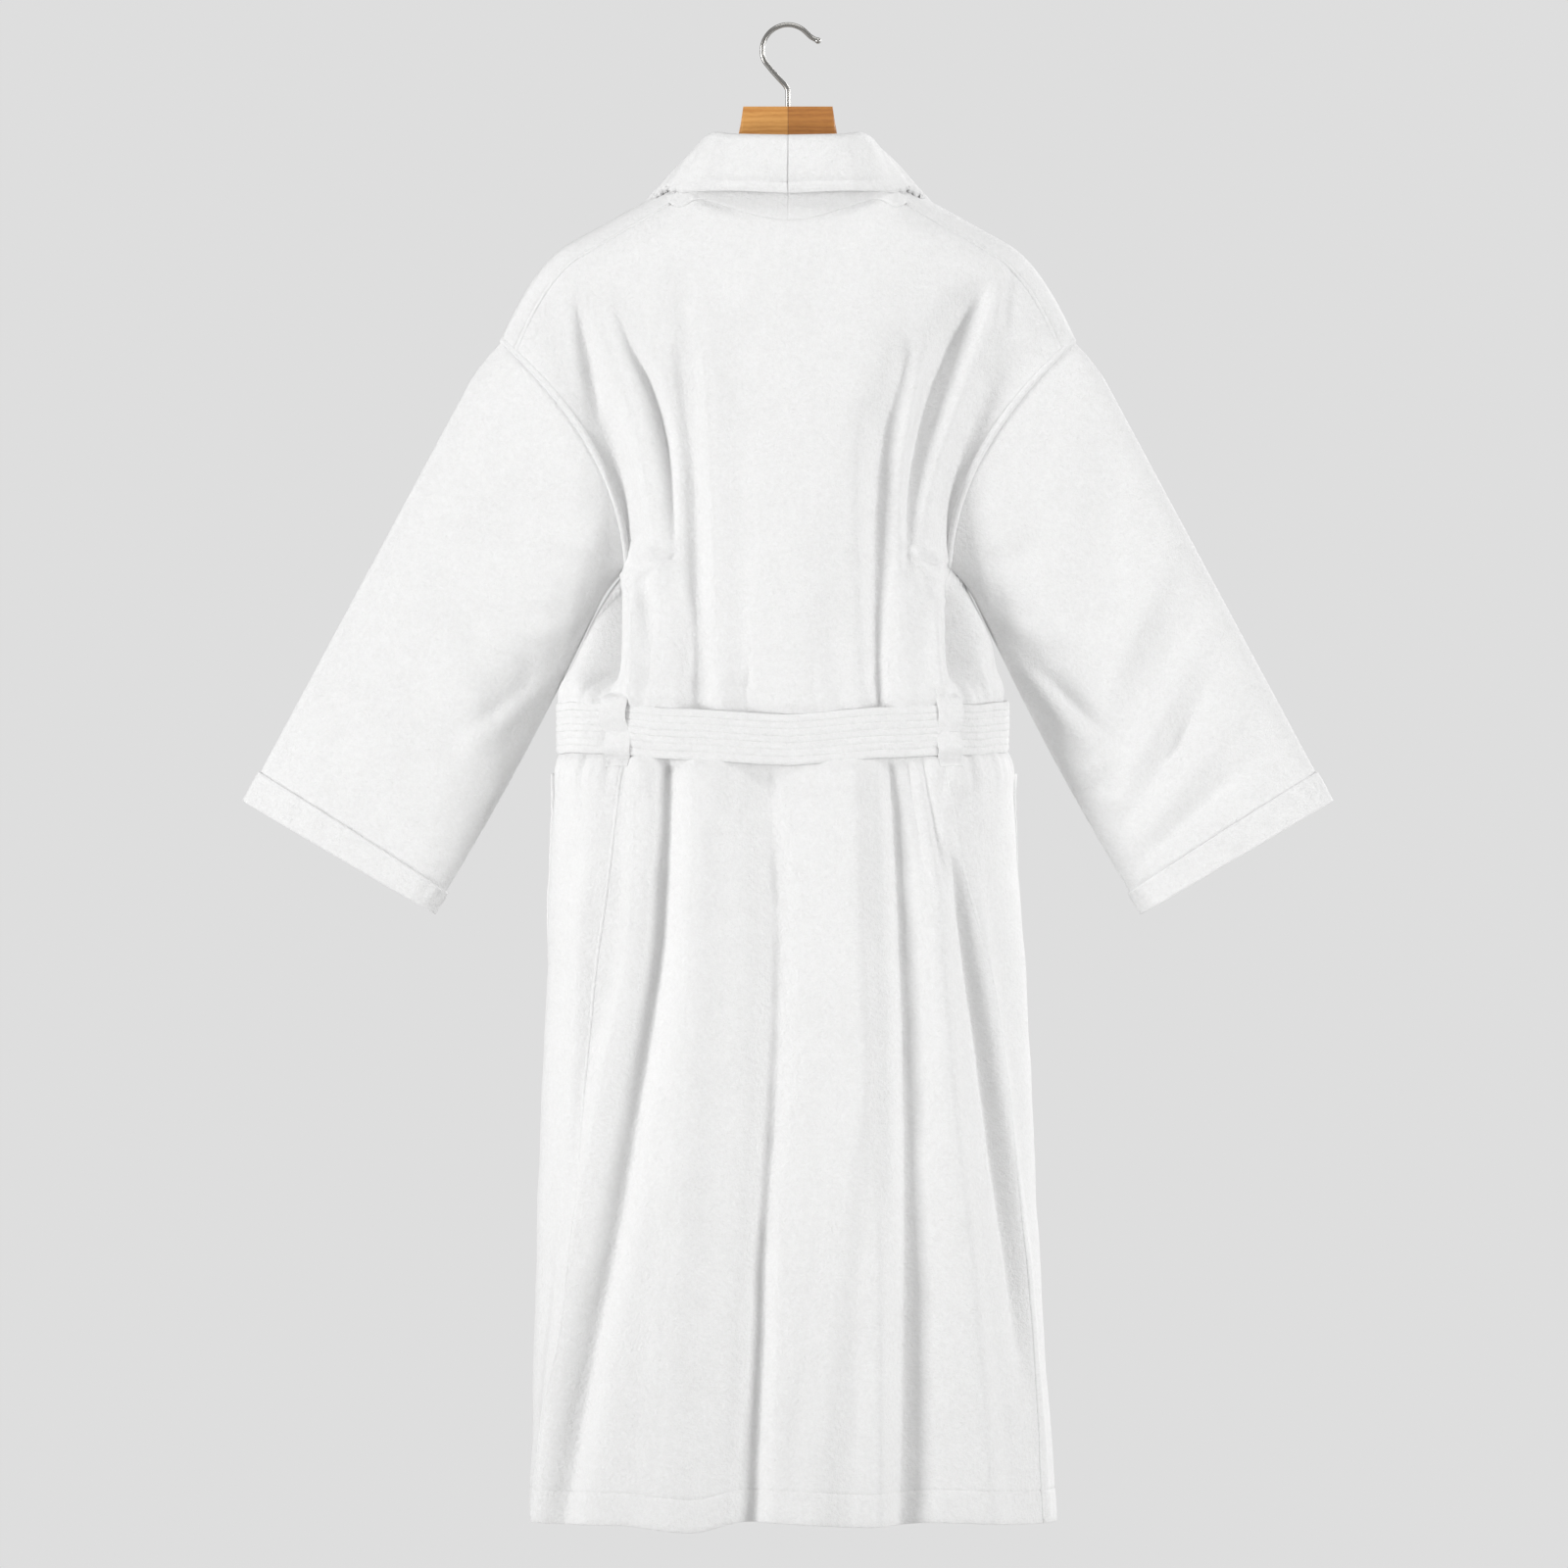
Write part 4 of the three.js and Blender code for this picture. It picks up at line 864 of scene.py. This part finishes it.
def face_of_front(side, x, z):
    out = x * side
    drop = shoulder_z - z
    for _ in range(40):
        wide = half_width(np.full(np.shape(out), side), np.maximum(drop, 0))
        across = np.minimum(np.abs(out) / wide, 1)
        drop = drop + (height_at(across, across * 0, np.maximum(drop, 0)) - z) / 2
    wide = half_width(np.full(np.shape(out), side), np.maximum(drop, 0))
    own = np.arcsin(np.clip(out / wide, -1, 1))
    at = front_cloth(side, 2 * quarter - own, np.maximum(drop, 0))[..., 1] + cloth_thick / 2
    return np.where(z > top_line(out), -1, at)


def collar_lines(side):
    top, deep = nape + 72 * mm, 46 * mm
    fall = nape + 21 * mm
    stand = 9.6 * mm
    stops = [
        (0, (0, -deep - 1 * mm, top), (0, -57 * mm, fall)),
        (0.12, (36 * mm, -deep * 0.9, top), (56 * mm, -53 * mm, fall + 2 * mm)),
        (0.24, (62.6 * mm, -deep * 0.54, top - 1 * mm), (101 * mm, -31 * mm, fall + 0.5 * mm)),
        (0.30, (68 * mm, -13 * mm, top - 4 * mm), (119 * mm, -21 * mm, neck_point - 10.5 * mm)),
        (0.36, (72 * mm, -2 * mm, top - 8 * mm), (131 * mm, -9 * mm, neck_point - 14.5 * mm)),
    ]
    stops = [(s, *[np.array([side * (p[0] + 0.04 * mm), p[1], p[2]]) for p in places]) for s, *places in stops]
    free = outside_front(side, np.array([146 * mm]), np.array([22 * mm]), stand + 2.5 * mm)[0]
    stops.append((0.46, np.array([side * 73 * mm, deep * 0.75, top - 34 * mm]), free))
    for share in (0.58, 0.7, 0.82, 0.92, 1.0):
        drop = rim_drop(np.array([share]))
        x = -front_edge(drop)
        slant = 0.5 * (1 - ease((share - 0.7) / 0.3))
        width = 92 * mm * mix(0.9, 1, ease(share * 2 - 1))
        roll = outside_front(side, x - 18 * mm, drop, 5.4 * mm)[0]
        free = outside_front(side, x - 18 * mm + width * np.sqrt(1 - slant ** 2), drop + width * slant, stand)[0]
        stops.append((share, roll, free))
    made = []
    for which in (1, 2):
        lines = [line_through([(stop[0], stop[which][axis]) for stop in stops], 1) for axis in range(3)]
        made.append(lambda share, lines=lines: np.stack([line(share) for line in lines], -1))
    return made


def unit(vector):
    return vector / np.maximum(np.linalg.norm(vector, axis=-1, keepdims=True), 1e-9)


for hand, side in (("left", -1), ("right", 1)):
    roll_line, free_line = collar_lines(side)
    share = np.concatenate([[0, 0.0012, 0.004], np.linspace(0.010, 0.985, 165), [0.992, 0.997, 1.0]])[:, None]
    across = rolled_stations(60, 0.012)[None, :]
    stand_end, fall_start = 0.36, 0.64
    shares, places = np.broadcast_arrays(share, across)
    radius = mix(6.5 * mm, 3.4 * mm, ease((shares - 0.3) / 0.3))[..., None]
    seam, roll, free = collar_rim(side, shares), roll_line(shares), free_line(shares)
    seam[shares[:, 0] < 1e-6, :, 0] = side * 0.04 * mm
    up = unit(roll - seam)
    outward = free - seam
    outward = unit(outward - up * (outward * up).sum(-1, keepdims=True))
    middle = roll - up * radius

    def turned(angle):
        return middle + outward * radius * (1 - np.cos(angle)) + up * radius * np.sin(angle)

    stand_part = mix(seam, turned(0.0), (places / stand_end)[..., None])
    turn_part = turned((math.pi * (places - stand_end) / (fall_start - stand_end))[..., None])
    run = ((places - fall_start) / (1 - fall_start))[..., None]
    fall_part = mix(turned(math.pi), free, run)
    # the fall is a little full, and its edge is stitched ten millimetres in
    bulge = 3.5 * mm * np.sin(math.pi * np.clip(run, 0, 1)) * (1 - ease((shares - 0.4) / 0.15))[..., None]
    fall_part = fall_part + outward * bulge
    long = np.linalg.norm(free - turned(math.pi), axis=-1)
    from_edge = (1 - run[..., 0]) * long
    wrinkle = 0.8 * mm * ripple(shares * 0.7 + 0.02 * side, from_edge + 0.3, 0.035)
    groove = -1.5 * mm * np.exp(-((from_edge - 10 * mm) / (2.2 * mm)) ** 2)
    groove += 0.8 * mm * np.exp(-((from_edge - 4.5 * mm) / (3.5 * mm)) ** 2)
    fall_part = fall_part + outward * (wrinkle * ease(run[..., 0] * 3) * ease(from_edge / 0.008) + groove)[..., None]
    face = face_of_front(side, fall_part[..., 0], fall_part[..., 2]) + collar_thick / 2 + 5.0 * mm
    fall_part[..., 1] = np.maximum(fall_part[..., 1], face)
    cut = places[..., None]
    made = np.where(cut < stand_end, stand_part, np.where(cut > fall_start, fall_part, turn_part))
    collar = make_cloth(hand + "_shawl_collar", made, collar_thick, velour, butted=True)
    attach(collar, "robe")
    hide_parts(hand + "_collar")

# ---- Belt ----
# A band of doubled velour, 44 mm wide and quilted with seven rows of stitches. It runs round the
# waist through two loops, sags a little behind, and is tied in front with both ends hanging.
belt_height, belt_thick = 44 * mm, 5 * mm
belt_rows = 7


def quilting(share):
    """The belt's stitched rows: 1 on a row of stitches and 0 half way between two."""
    return np.abs(np.cos(math.pi * share * belt_rows)) ** 14


def belt_at(angle, lift, off):
    angle, lift, off = np.broadcast_arrays(angle, lift, off)
    across = np.sign(np.cos(angle)) * np.abs(np.cos(angle)) ** 0.7
    along = np.sign(np.sin(angle)) * np.sqrt(np.maximum(1 - np.abs(across) ** 3, 0))
    sag = 11 * mm * (1 - np.abs(across)) * (0.65 - 0.35 * np.sin(angle))
    drop = waist_drop - lift + sag
    wide = np.where(across < 0, 203, 193) * mm
    deep = 72.5 * mm
    way = unit(np.stack([across / wide, along / deep, 0 * across], -1))
    return np.stack([across * wide, along * deep, shoulder_z - drop], -1) + way * off[..., None]


angles = np.linspace(0, 2 * math.pi, 300, endpoint=False)[None, :]
shares = np.unique(np.concatenate([rolled_stations(57, 0.02)]))[:, None]
lift = (0.5 - shares) * belt_height
wave = 0.9 * mm * np.sin(5 * angles + 1.2) + 0.5 * mm * np.sin(13 * angles)
off = 7.5 * mm + 0.6 * mm * ripple(angles * 0.2, shares * 0.04, 0.03) - 1.3 * mm * quilting(shares)
belt = make_cloth("belt_band", belt_at(angles, lift + wave, off + 0 * angles), belt_thick, velour, closed_round=True)
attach(belt, "robe")
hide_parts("belt")

# ---- Belt loops ----
# A narrow strip at each side seam, sewn to the robe above and below the belt, bowed out by it.
for hand, side, middle_turn in (("left", -1, 0.84), ("right", 1, 0.83)):
    across = rolled_stations(10, 0.06)[None, :]
    down = rolled_stations(46, 0.01)[:, None]
    turn = side * (middle_turn + (across - 0.5) * 0.15)
    drop = waist_drop + mix(-37 * mm, 37 * mm, down)
    bow = ease((30 - np.abs(down - 0.5) * 74) / 7)
    ground = skin(turn, drop)
    facing = unit(skin(turn, drop, 2 * mm) - ground)
    off = cloth_thick / 2 - 0.6 * mm + (13.0 - 5.0 * (1 - across)) * mm * bow - drape(turn, drop + 0 * turn) * bow
    loop = make_cloth(hand + "_loop", ground + facing * (off + 0 * across)[..., None], 3.0 * mm, velour)
    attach(loop, "robe")
    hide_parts(hand + "_belt_loop")

# ---- Knot ----
# The belt's own ends, crossed and drawn through once: two bands of gathered belt over each other.
knot_low, knot_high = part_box("belt_knot")
knot_middle = (knot_low + knot_high) / 2


def strap(name, path, width, thick, facing, finish, rows=7):
    """A flat belt along a path, crowded to a given width, with its stitched rows."""
    path = np.array(path, float)
    at = np.linspace(0, len(path) - 1, 70)
    smooth = np.stack([line_through(list(enumerate(path[:, i])), 1)(at) for i in range(3)], -1)
    facing = np.array(facing, float)
    look = unit(np.stack([line_through(list(enumerate(facing[:, i])), 1)(at) for i in range(3)], -1))
    wide = line_through(list(enumerate(width)), 1)(at)
    along = unit(np.gradient(smooth, axis=0))
    look = unit(look - along * (look * along).sum(1, keepdims=True))
    beside = np.cross(along, look)
    across = rolled_stations(30, 0.05)
    middle = smooth[:, None] + beside[:, None] * ((across - 0.5)[None, :] * wide[:, None])[..., None]
    crown = (1 - (2 * across - 1) ** 2) * 3.2 * mm - 0.9 * mm * np.abs(np.cos(math.pi * across * rows)) ** 8
    middle = middle + look[:, None] * crown[None, :, None]
    return make_cloth(name, middle, thick, finish)


def about_knot(points):
    return [(knot_middle.x + x * mm, knot_middle.y + y * mm, knot_middle.z + z * mm) for x, y, z in points]


knot = strap(
    "knot_over",
    about_knot([(-33, -9, 6), (-22, 2, 9), (-4, 9, 5), (12, 7, -6), (18, 0, -13), (14, -8, -15), (4, -12, -12)]),
    [0.038, 0.037, 0.037, 0.037, 0.036, 0.034, 0.032], 6 * mm,
    [(-0.4, 1, 0.2), (-0.3, 1, 0.3), (0, 1, 0.4), (0.4, 1, 0), (0.6, 0.6, -0.6), (0.3, -0.6, -0.8), (0, -1, 0)], velour)
under = strap(
    "knot_under",
    about_knot([(33, -9, 6), (22, -1, 9), (6, 2, 10), (-7, 4, 0), (-14, 1, -10), (-13, -7, -14), (-4, -12, -12)]),
    [0.038, 0.036, 0.035, 0.036, 0.036, 0.034, 0.032], 6 * mm,
    [(0.4, 1, 0.2), (0.3, 1, 0.3), (0, 1, 0.6), (-0.5, 1, 0.2), (-0.6, 0.6, -0.5), (-0.3, -0.6, -0.8), (0, -1, 0)], velour)
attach(knot, "robe")
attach(under, "robe")
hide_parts("belt_knot")

# ---- Belt tails ----
# The two ends of the belt, hanging from the knot down the front, finished square. They swing with it.
for hand, side in (("left", -1), ("right", 1)):
    low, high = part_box(hand + "_belt_tail")
    middle = (low.x + high.x) / 2
    top_y, bottom_y = 0.1004, high.y - 0.003
    down = rolled_stations(100, 0.006)[:, None]
    across = rolled_stations(44, 0.03)[None, :]
    x = middle + (across - 0.5) * belt_height * mix(0.72, 1, ease(down * 6)) + side * 3 * mm * np.sin(down * 4.2)
    z = mix(high.z, low.z, down) + side * 1.0 * mm * (across - 0.5)
    ground = mix(top_y, bottom_y, ease(down * 1.1) ** 0.9)
    y = ground + 2.0 * mm * np.sin(down * 7 + side) * ease(down * 3) - 0.8 * mm * quilting(across)
    y = y + 2.5 * mm * (1 - ease(down * 6)) * np.cos(across * 9)
    made = np.stack(np.broadcast_arrays(x, y, z), -1)
    tail = make_cloth(hand + "_tail", made, belt_thick, velour)
    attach(tail, hand + "_belt_tail")
    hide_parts(hand + "_belt_tail")

# ---- Patch pockets ----
# A plain square pocket on each front, below the belt, sewn at its sides and bottom. Its mouth is a
# turned band with one row of stitches, and gapes a little.
for hand, side in (("left", -1), ("right", 1)):
    top_drop = waist_drop + 44 * mm
    down = rolled_stations(70, 0.006)[:, None]
    across = rolled_stations(56, 0.008)[None, :]
    drop = top_drop + 168 * mm * down
    start, end = side_seam(side, drop), front_end(side, drop)
    turn = side * mix(start, end, mix(4.5 / 14, 10 / 14, across))
    ground = skin(turn, drop, inner=float(side > 0), front=True)
    facing = unit(skin(turn, drop, 2 * mm, inner=float(side > 0), front=True) - ground)
    arch = np.maximum(4 * across * (1 - across), 0) ** 1.3
    room = 11 * mm * arch * (1 - down ** 3)
    band = -0.9 * mm * np.exp(-((down * 168 - 36) / 1.6) ** 2)
    side_stitch = -0.5 * mm * np.exp(-((np.minimum(across, 1 - across) * 150 - 7) / 2) ** 2)
    off = 3.9 * mm + room + band + side_stitch + 0.5 * mm * ripple(across * 0.15, down * 0.168, 0.03)
    pocket = make_cloth(hand + "_patch_pocket", ground + facing * off[..., None], 3 * mm, velour)
    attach(pocket, "robe")
    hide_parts(hand + "_pocket")

# ---- Hanging loop and label ----
# A loop of cotton tape sewn inside the nape at its two ends, and a plain woven label below it.
weave, weave_in, weave_out = node_group(
    "plain weave",
    [("Light", "NodeSocketColor", (0.9, 0.9, 0.89, 1)), ("Shade", "NodeSocketColor", (0.76, 0.76, 0.75, 1))],
    [("Color", "NodeSocketColor"), ("Height", "NodeSocketFloat")],
)
weave_place = weave.nodes.new("ShaderNodeTexCoord").outputs["Object"]
threads = []
for direction in ("X", "Z"):
    wave_node = texture(weave, "ShaderNodeTexWave", weave_place, 420)
    wave_node.bands_direction = direction
    threads.append(wave_node.outputs["Fac"])
weave_height = sum_of(weave, [(threads[0], 0.5), (threads[1], 0.5)])
weave.links.new(weave_height, weave_out.inputs["Height"])
# painted shade between the threads and painted light on their crests: the tape's colour follows the weave's height
thread_shade = weave.nodes.new("ShaderNodeMix")
thread_shade.data_type = "RGBA"
weave.links.new(weave_height, thread_shade.inputs["Factor"])
weave.links.new(weave_in.outputs["Shade"], thread_shade.inputs["A"])
weave.links.new(weave_in.outputs["Light"], thread_shade.inputs["B"])
weave.links.new(thread_shade.outputs["Result"], weave_out.inputs["Color"])
# the two colours are painted light and painted shade of one white tape
tape = cloth_finish("white cotton tape", (0.87, 0.87, 0.86), (0.72, 0.72, 0.71), weave, 0.8, 0.1, 0.6, 0.3 * mm)

across = rolled_stations(50, 0.012)[None, :]
down = rolled_stations(12, 0.06)[:, None]
x = (across - 0.5) * 62 * mm
turn = np.arcsin(x / shoulder_half)
made = skin(turn, 4 * mm + 8 * mm * down, -cloth_thick / 2)
bow = np.maximum(np.sin(math.pi * across), 0) ** 0.5
made[..., 1] += 1.4 * mm + 11.5 * mm * bow
made[..., 2] += 1.5 * mm * bow
loop = make_cloth("tape_loop", made, 1.2 * mm, tape)
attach(loop, "robe")
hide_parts("hanging_loop")

across = rolled_stations(30, 0.02)[None, :]
down = rolled_stations(26, 0.02)[:, None]
x = (across - 0.5) * 52 * mm
made = skin(np.arcsin(x / shoulder_half), 28 * mm + 34 * mm * down, -cloth_thick / 2)
made[..., 1] += 1.6 * mm
label = make_cloth("woven_label", made, 0.9 * mm, tape)
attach(label, "robe")
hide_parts("neck_label")

# ---- Hanger ----
# Two arms of warm varnished hardwood, glued at the middle of a deep neck and curved forward under
# the shoulders. The corners are eased, and the grain runs along each arm.
grain, grain_in, grain_out = node_group(
    "wood grain",
    [("Light", "NodeSocketColor", (0.7, 0.4, 0.14, 1)), ("Dark", "NodeSocketColor", (0.3, 0.13, 0.04, 1)),
     ("Turn", "NodeSocketFloat", 0.0)],
    [("Color", "NodeSocketColor"), ("Height", "NodeSocketFloat"), ("Roughness", "NodeSocketFloat")],
)
grain_place = grain.nodes.new("ShaderNodeTexCoord").outputs["Object"]
stretch = grain.nodes.new("ShaderNodeMapping")
stretch.inputs["Scale"].default_value = (0.12, 1.0, 1.0)
grain.links.new(grain_place, stretch.inputs["Vector"])
rings = texture(grain, "ShaderNodeTexWave", stretch.outputs["Vector"], 60, Distortion=5.0, Detail=3.0)
rings.bands_direction = "Z"
rings.inputs["Detail Scale"].default_value = 1.6
pores = texture(grain, "ShaderNodeTexNoise", stretch.outputs["Vector"], 900, Detail=3.0, Roughness=0.7)
warm = texture(grain, "ShaderNodeTexNoise", stretch.outputs["Vector"], 28, Detail=2.0)
figure = sum_of(grain, [(rings.outputs["Fac"], 0.16), (pores.outputs["Fac"], 0.5), (warm.outputs["Fac"], 0.6)])
stain = grain.nodes.new("ShaderNodeMapRange")
stain.inputs["From Min"].default_value = 0.42
stain.inputs["From Max"].default_value = 0.86
grain.links.new(figure, stain.inputs["Value"])
tone = grain.nodes.new("ShaderNodeMix")
tone.data_type = "RGBA"
grain.links.new(stain.outputs["Result"], tone.inputs["Factor"])
grain.links.new(grain_in.outputs["Light"], tone.inputs["A"])
grain.links.new(grain_in.outputs["Dark"], tone.inputs["B"])
grain.links.new(tone.outputs["Result"], grain_out.inputs["Color"])
grain.links.new(figure, grain_out.inputs["Height"])
dull = grain.nodes.new("ShaderNodeMapRange")
dull.inputs["To Min"].default_value = 0.28
dull.inputs["To Max"].default_value = 0.46
grain.links.new(pores.outputs["Fac"], dull.inputs["Value"])
grain.links.new(dull.outputs["Result"], grain_out.inputs["Roughness"])


def wood_finish(name, light, dark):
    made = bpy.data.materials.new(name)
    made.use_nodes = True
    tree = made.node_tree
    shader = tree.nodes["Principled BSDF"]
    shader.inputs["Coat Weight"].default_value = 0.35
    shader.inputs["Coat Roughness"].default_value = 0.2
    effect = tree.nodes.new("ShaderNodeGroup")
    effect.node_tree = grain
    effect.inputs["Light"].default_value = (*light, 1)
    effect.inputs["Dark"].default_value = (*dark, 1)
    raised = tree.nodes.new("ShaderNodeBump")
    raised.inputs["Strength"].default_value = 0.12
    raised.inputs["Distance"].default_value = 0.4 * mm
    tree.links.new(effect.outputs["Color"], shader.inputs["Base Color"])
    tree.links.new(effect.outputs["Roughness"], shader.inputs["Roughness"])
    tree.links.new(effect.outputs["Height"], raised.inputs["Height"])
    tree.links.new(raised.outputs["Normal"], shader.inputs["Normal"])
    return made


# the right arm's wood is painted darker than the left arm's: painted shade, the left arm being on the side of the
# stronger light
for hand, light, dark in (
    ("left", (0.72, 0.36, 0.10), (0.46, 0.17, 0.03)),
    ("right", (0.52, 0.22, 0.05), (0.30, 0.10, 0.02)),
):
    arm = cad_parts[hand + "_hanger_arm"]
    arm.data.materials.clear()
    arm.data.materials.append(wood_finish(hand + " varnished hardwood", light, dark))
    for face in arm.data.polygons:
        face.use_smooth = True
    eased = arm.modifiers.new("eased corners", "BEVEL")
    eased.width = 4.5 * mm
    eased.segments = 4
    eased.limit_method = "ANGLE"
    eased.angle_limit = math.radians(50)
    eased.harden_normals = True

# ---- Hook ----
# One length of bright drawn wire, bent to a crook with a ball at its tip, and held under the neck
# by a pressed nut so that it turns.
wire = 4.5 * mm
bend = 23.6 * mm
crook_middle = wire / 2 - bend


def crook(degrees, out=0.0):
    angle = math.radians(degrees)
    reach = bend + out * mm
    return (reach * math.cos(angle), 0, crook_middle + reach * math.sin(angle))


wire_points = [(0, 0, -0.143), (0, 0, -0.110), (0, 0, -0.084), (0, 0, -0.060), (-0.0022, 0, -0.054), (-0.0085, 0, -0.047), (-0.0155, 0, -0.039)]
wire_points += [crook(degrees) for degrees in (203, 185, 165, 145, 125, 105, 90, 75, 58, 42)] + [crook(30, 1), crook(18, 5.4)]
wire_points = np.array(wire_points)
gaps = np.concatenate([[0], np.cumsum(np.linalg.norm(np.diff(wire_points, axis=0), axis=1) ** 0.5)])
dense = np.linspace(0, gaps[-1], 240)
wire_line = np.stack([line_through(list(zip(gaps, wire_points[:, i])), 1)(dense) for i in range(3)], -1)

steel = bpy.data.materials.new("bright drawn steel")
steel.use_nodes = True
steel_tree = steel.node_tree
steel_shader = steel_tree.nodes["Principled BSDF"]
steel_shader.inputs["Base Color"].default_value = (0.42, 0.41, 0.39, 1)
steel_shader.inputs["Metallic"].default_value = 1.0
steel_place = steel_tree.nodes.new("ShaderNodeTexCoord").outputs["Object"]
smudges = texture(steel_tree, "ShaderNodeTexNoise", steel_place, 60, Detail=3.0)
polish = steel_tree.nodes.new("ShaderNodeMapRange")
polish.inputs["To Min"].default_value = 0.23
polish.inputs["To Max"].default_value = 0.31
steel_tree.links.new(smudges.outputs["Fac"], polish.inputs["Value"])
steel_tree.links.new(polish.outputs["Result"], steel_shader.inputs["Roughness"])

hook = sweep_tube("hook_wire", wire_line, wire / 2, 24, steel)
ball = bpy.data.meshes.new("hook_tip")
shape = bmesh.new()
bmesh.ops.create_uvsphere(shape, u_segments=32, v_segments=20, radius=2.9 * mm)
for vertex in shape.verts:
    vertex.co += Vector(wire_line[-1])
for face in shape.faces:
    face.smooth = True
shape.to_mesh(ball)
shape.free()
ball.materials.append(steel)
tip = bpy.data.objects.new("hook_tip", ball)
bpy.context.collection.objects.link(tip)
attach(hook, "hook")
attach(tip, "hook")
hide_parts("hook")
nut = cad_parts["hook_nut"]
nut.data.materials.clear()
nut.data.materials.append(steel)
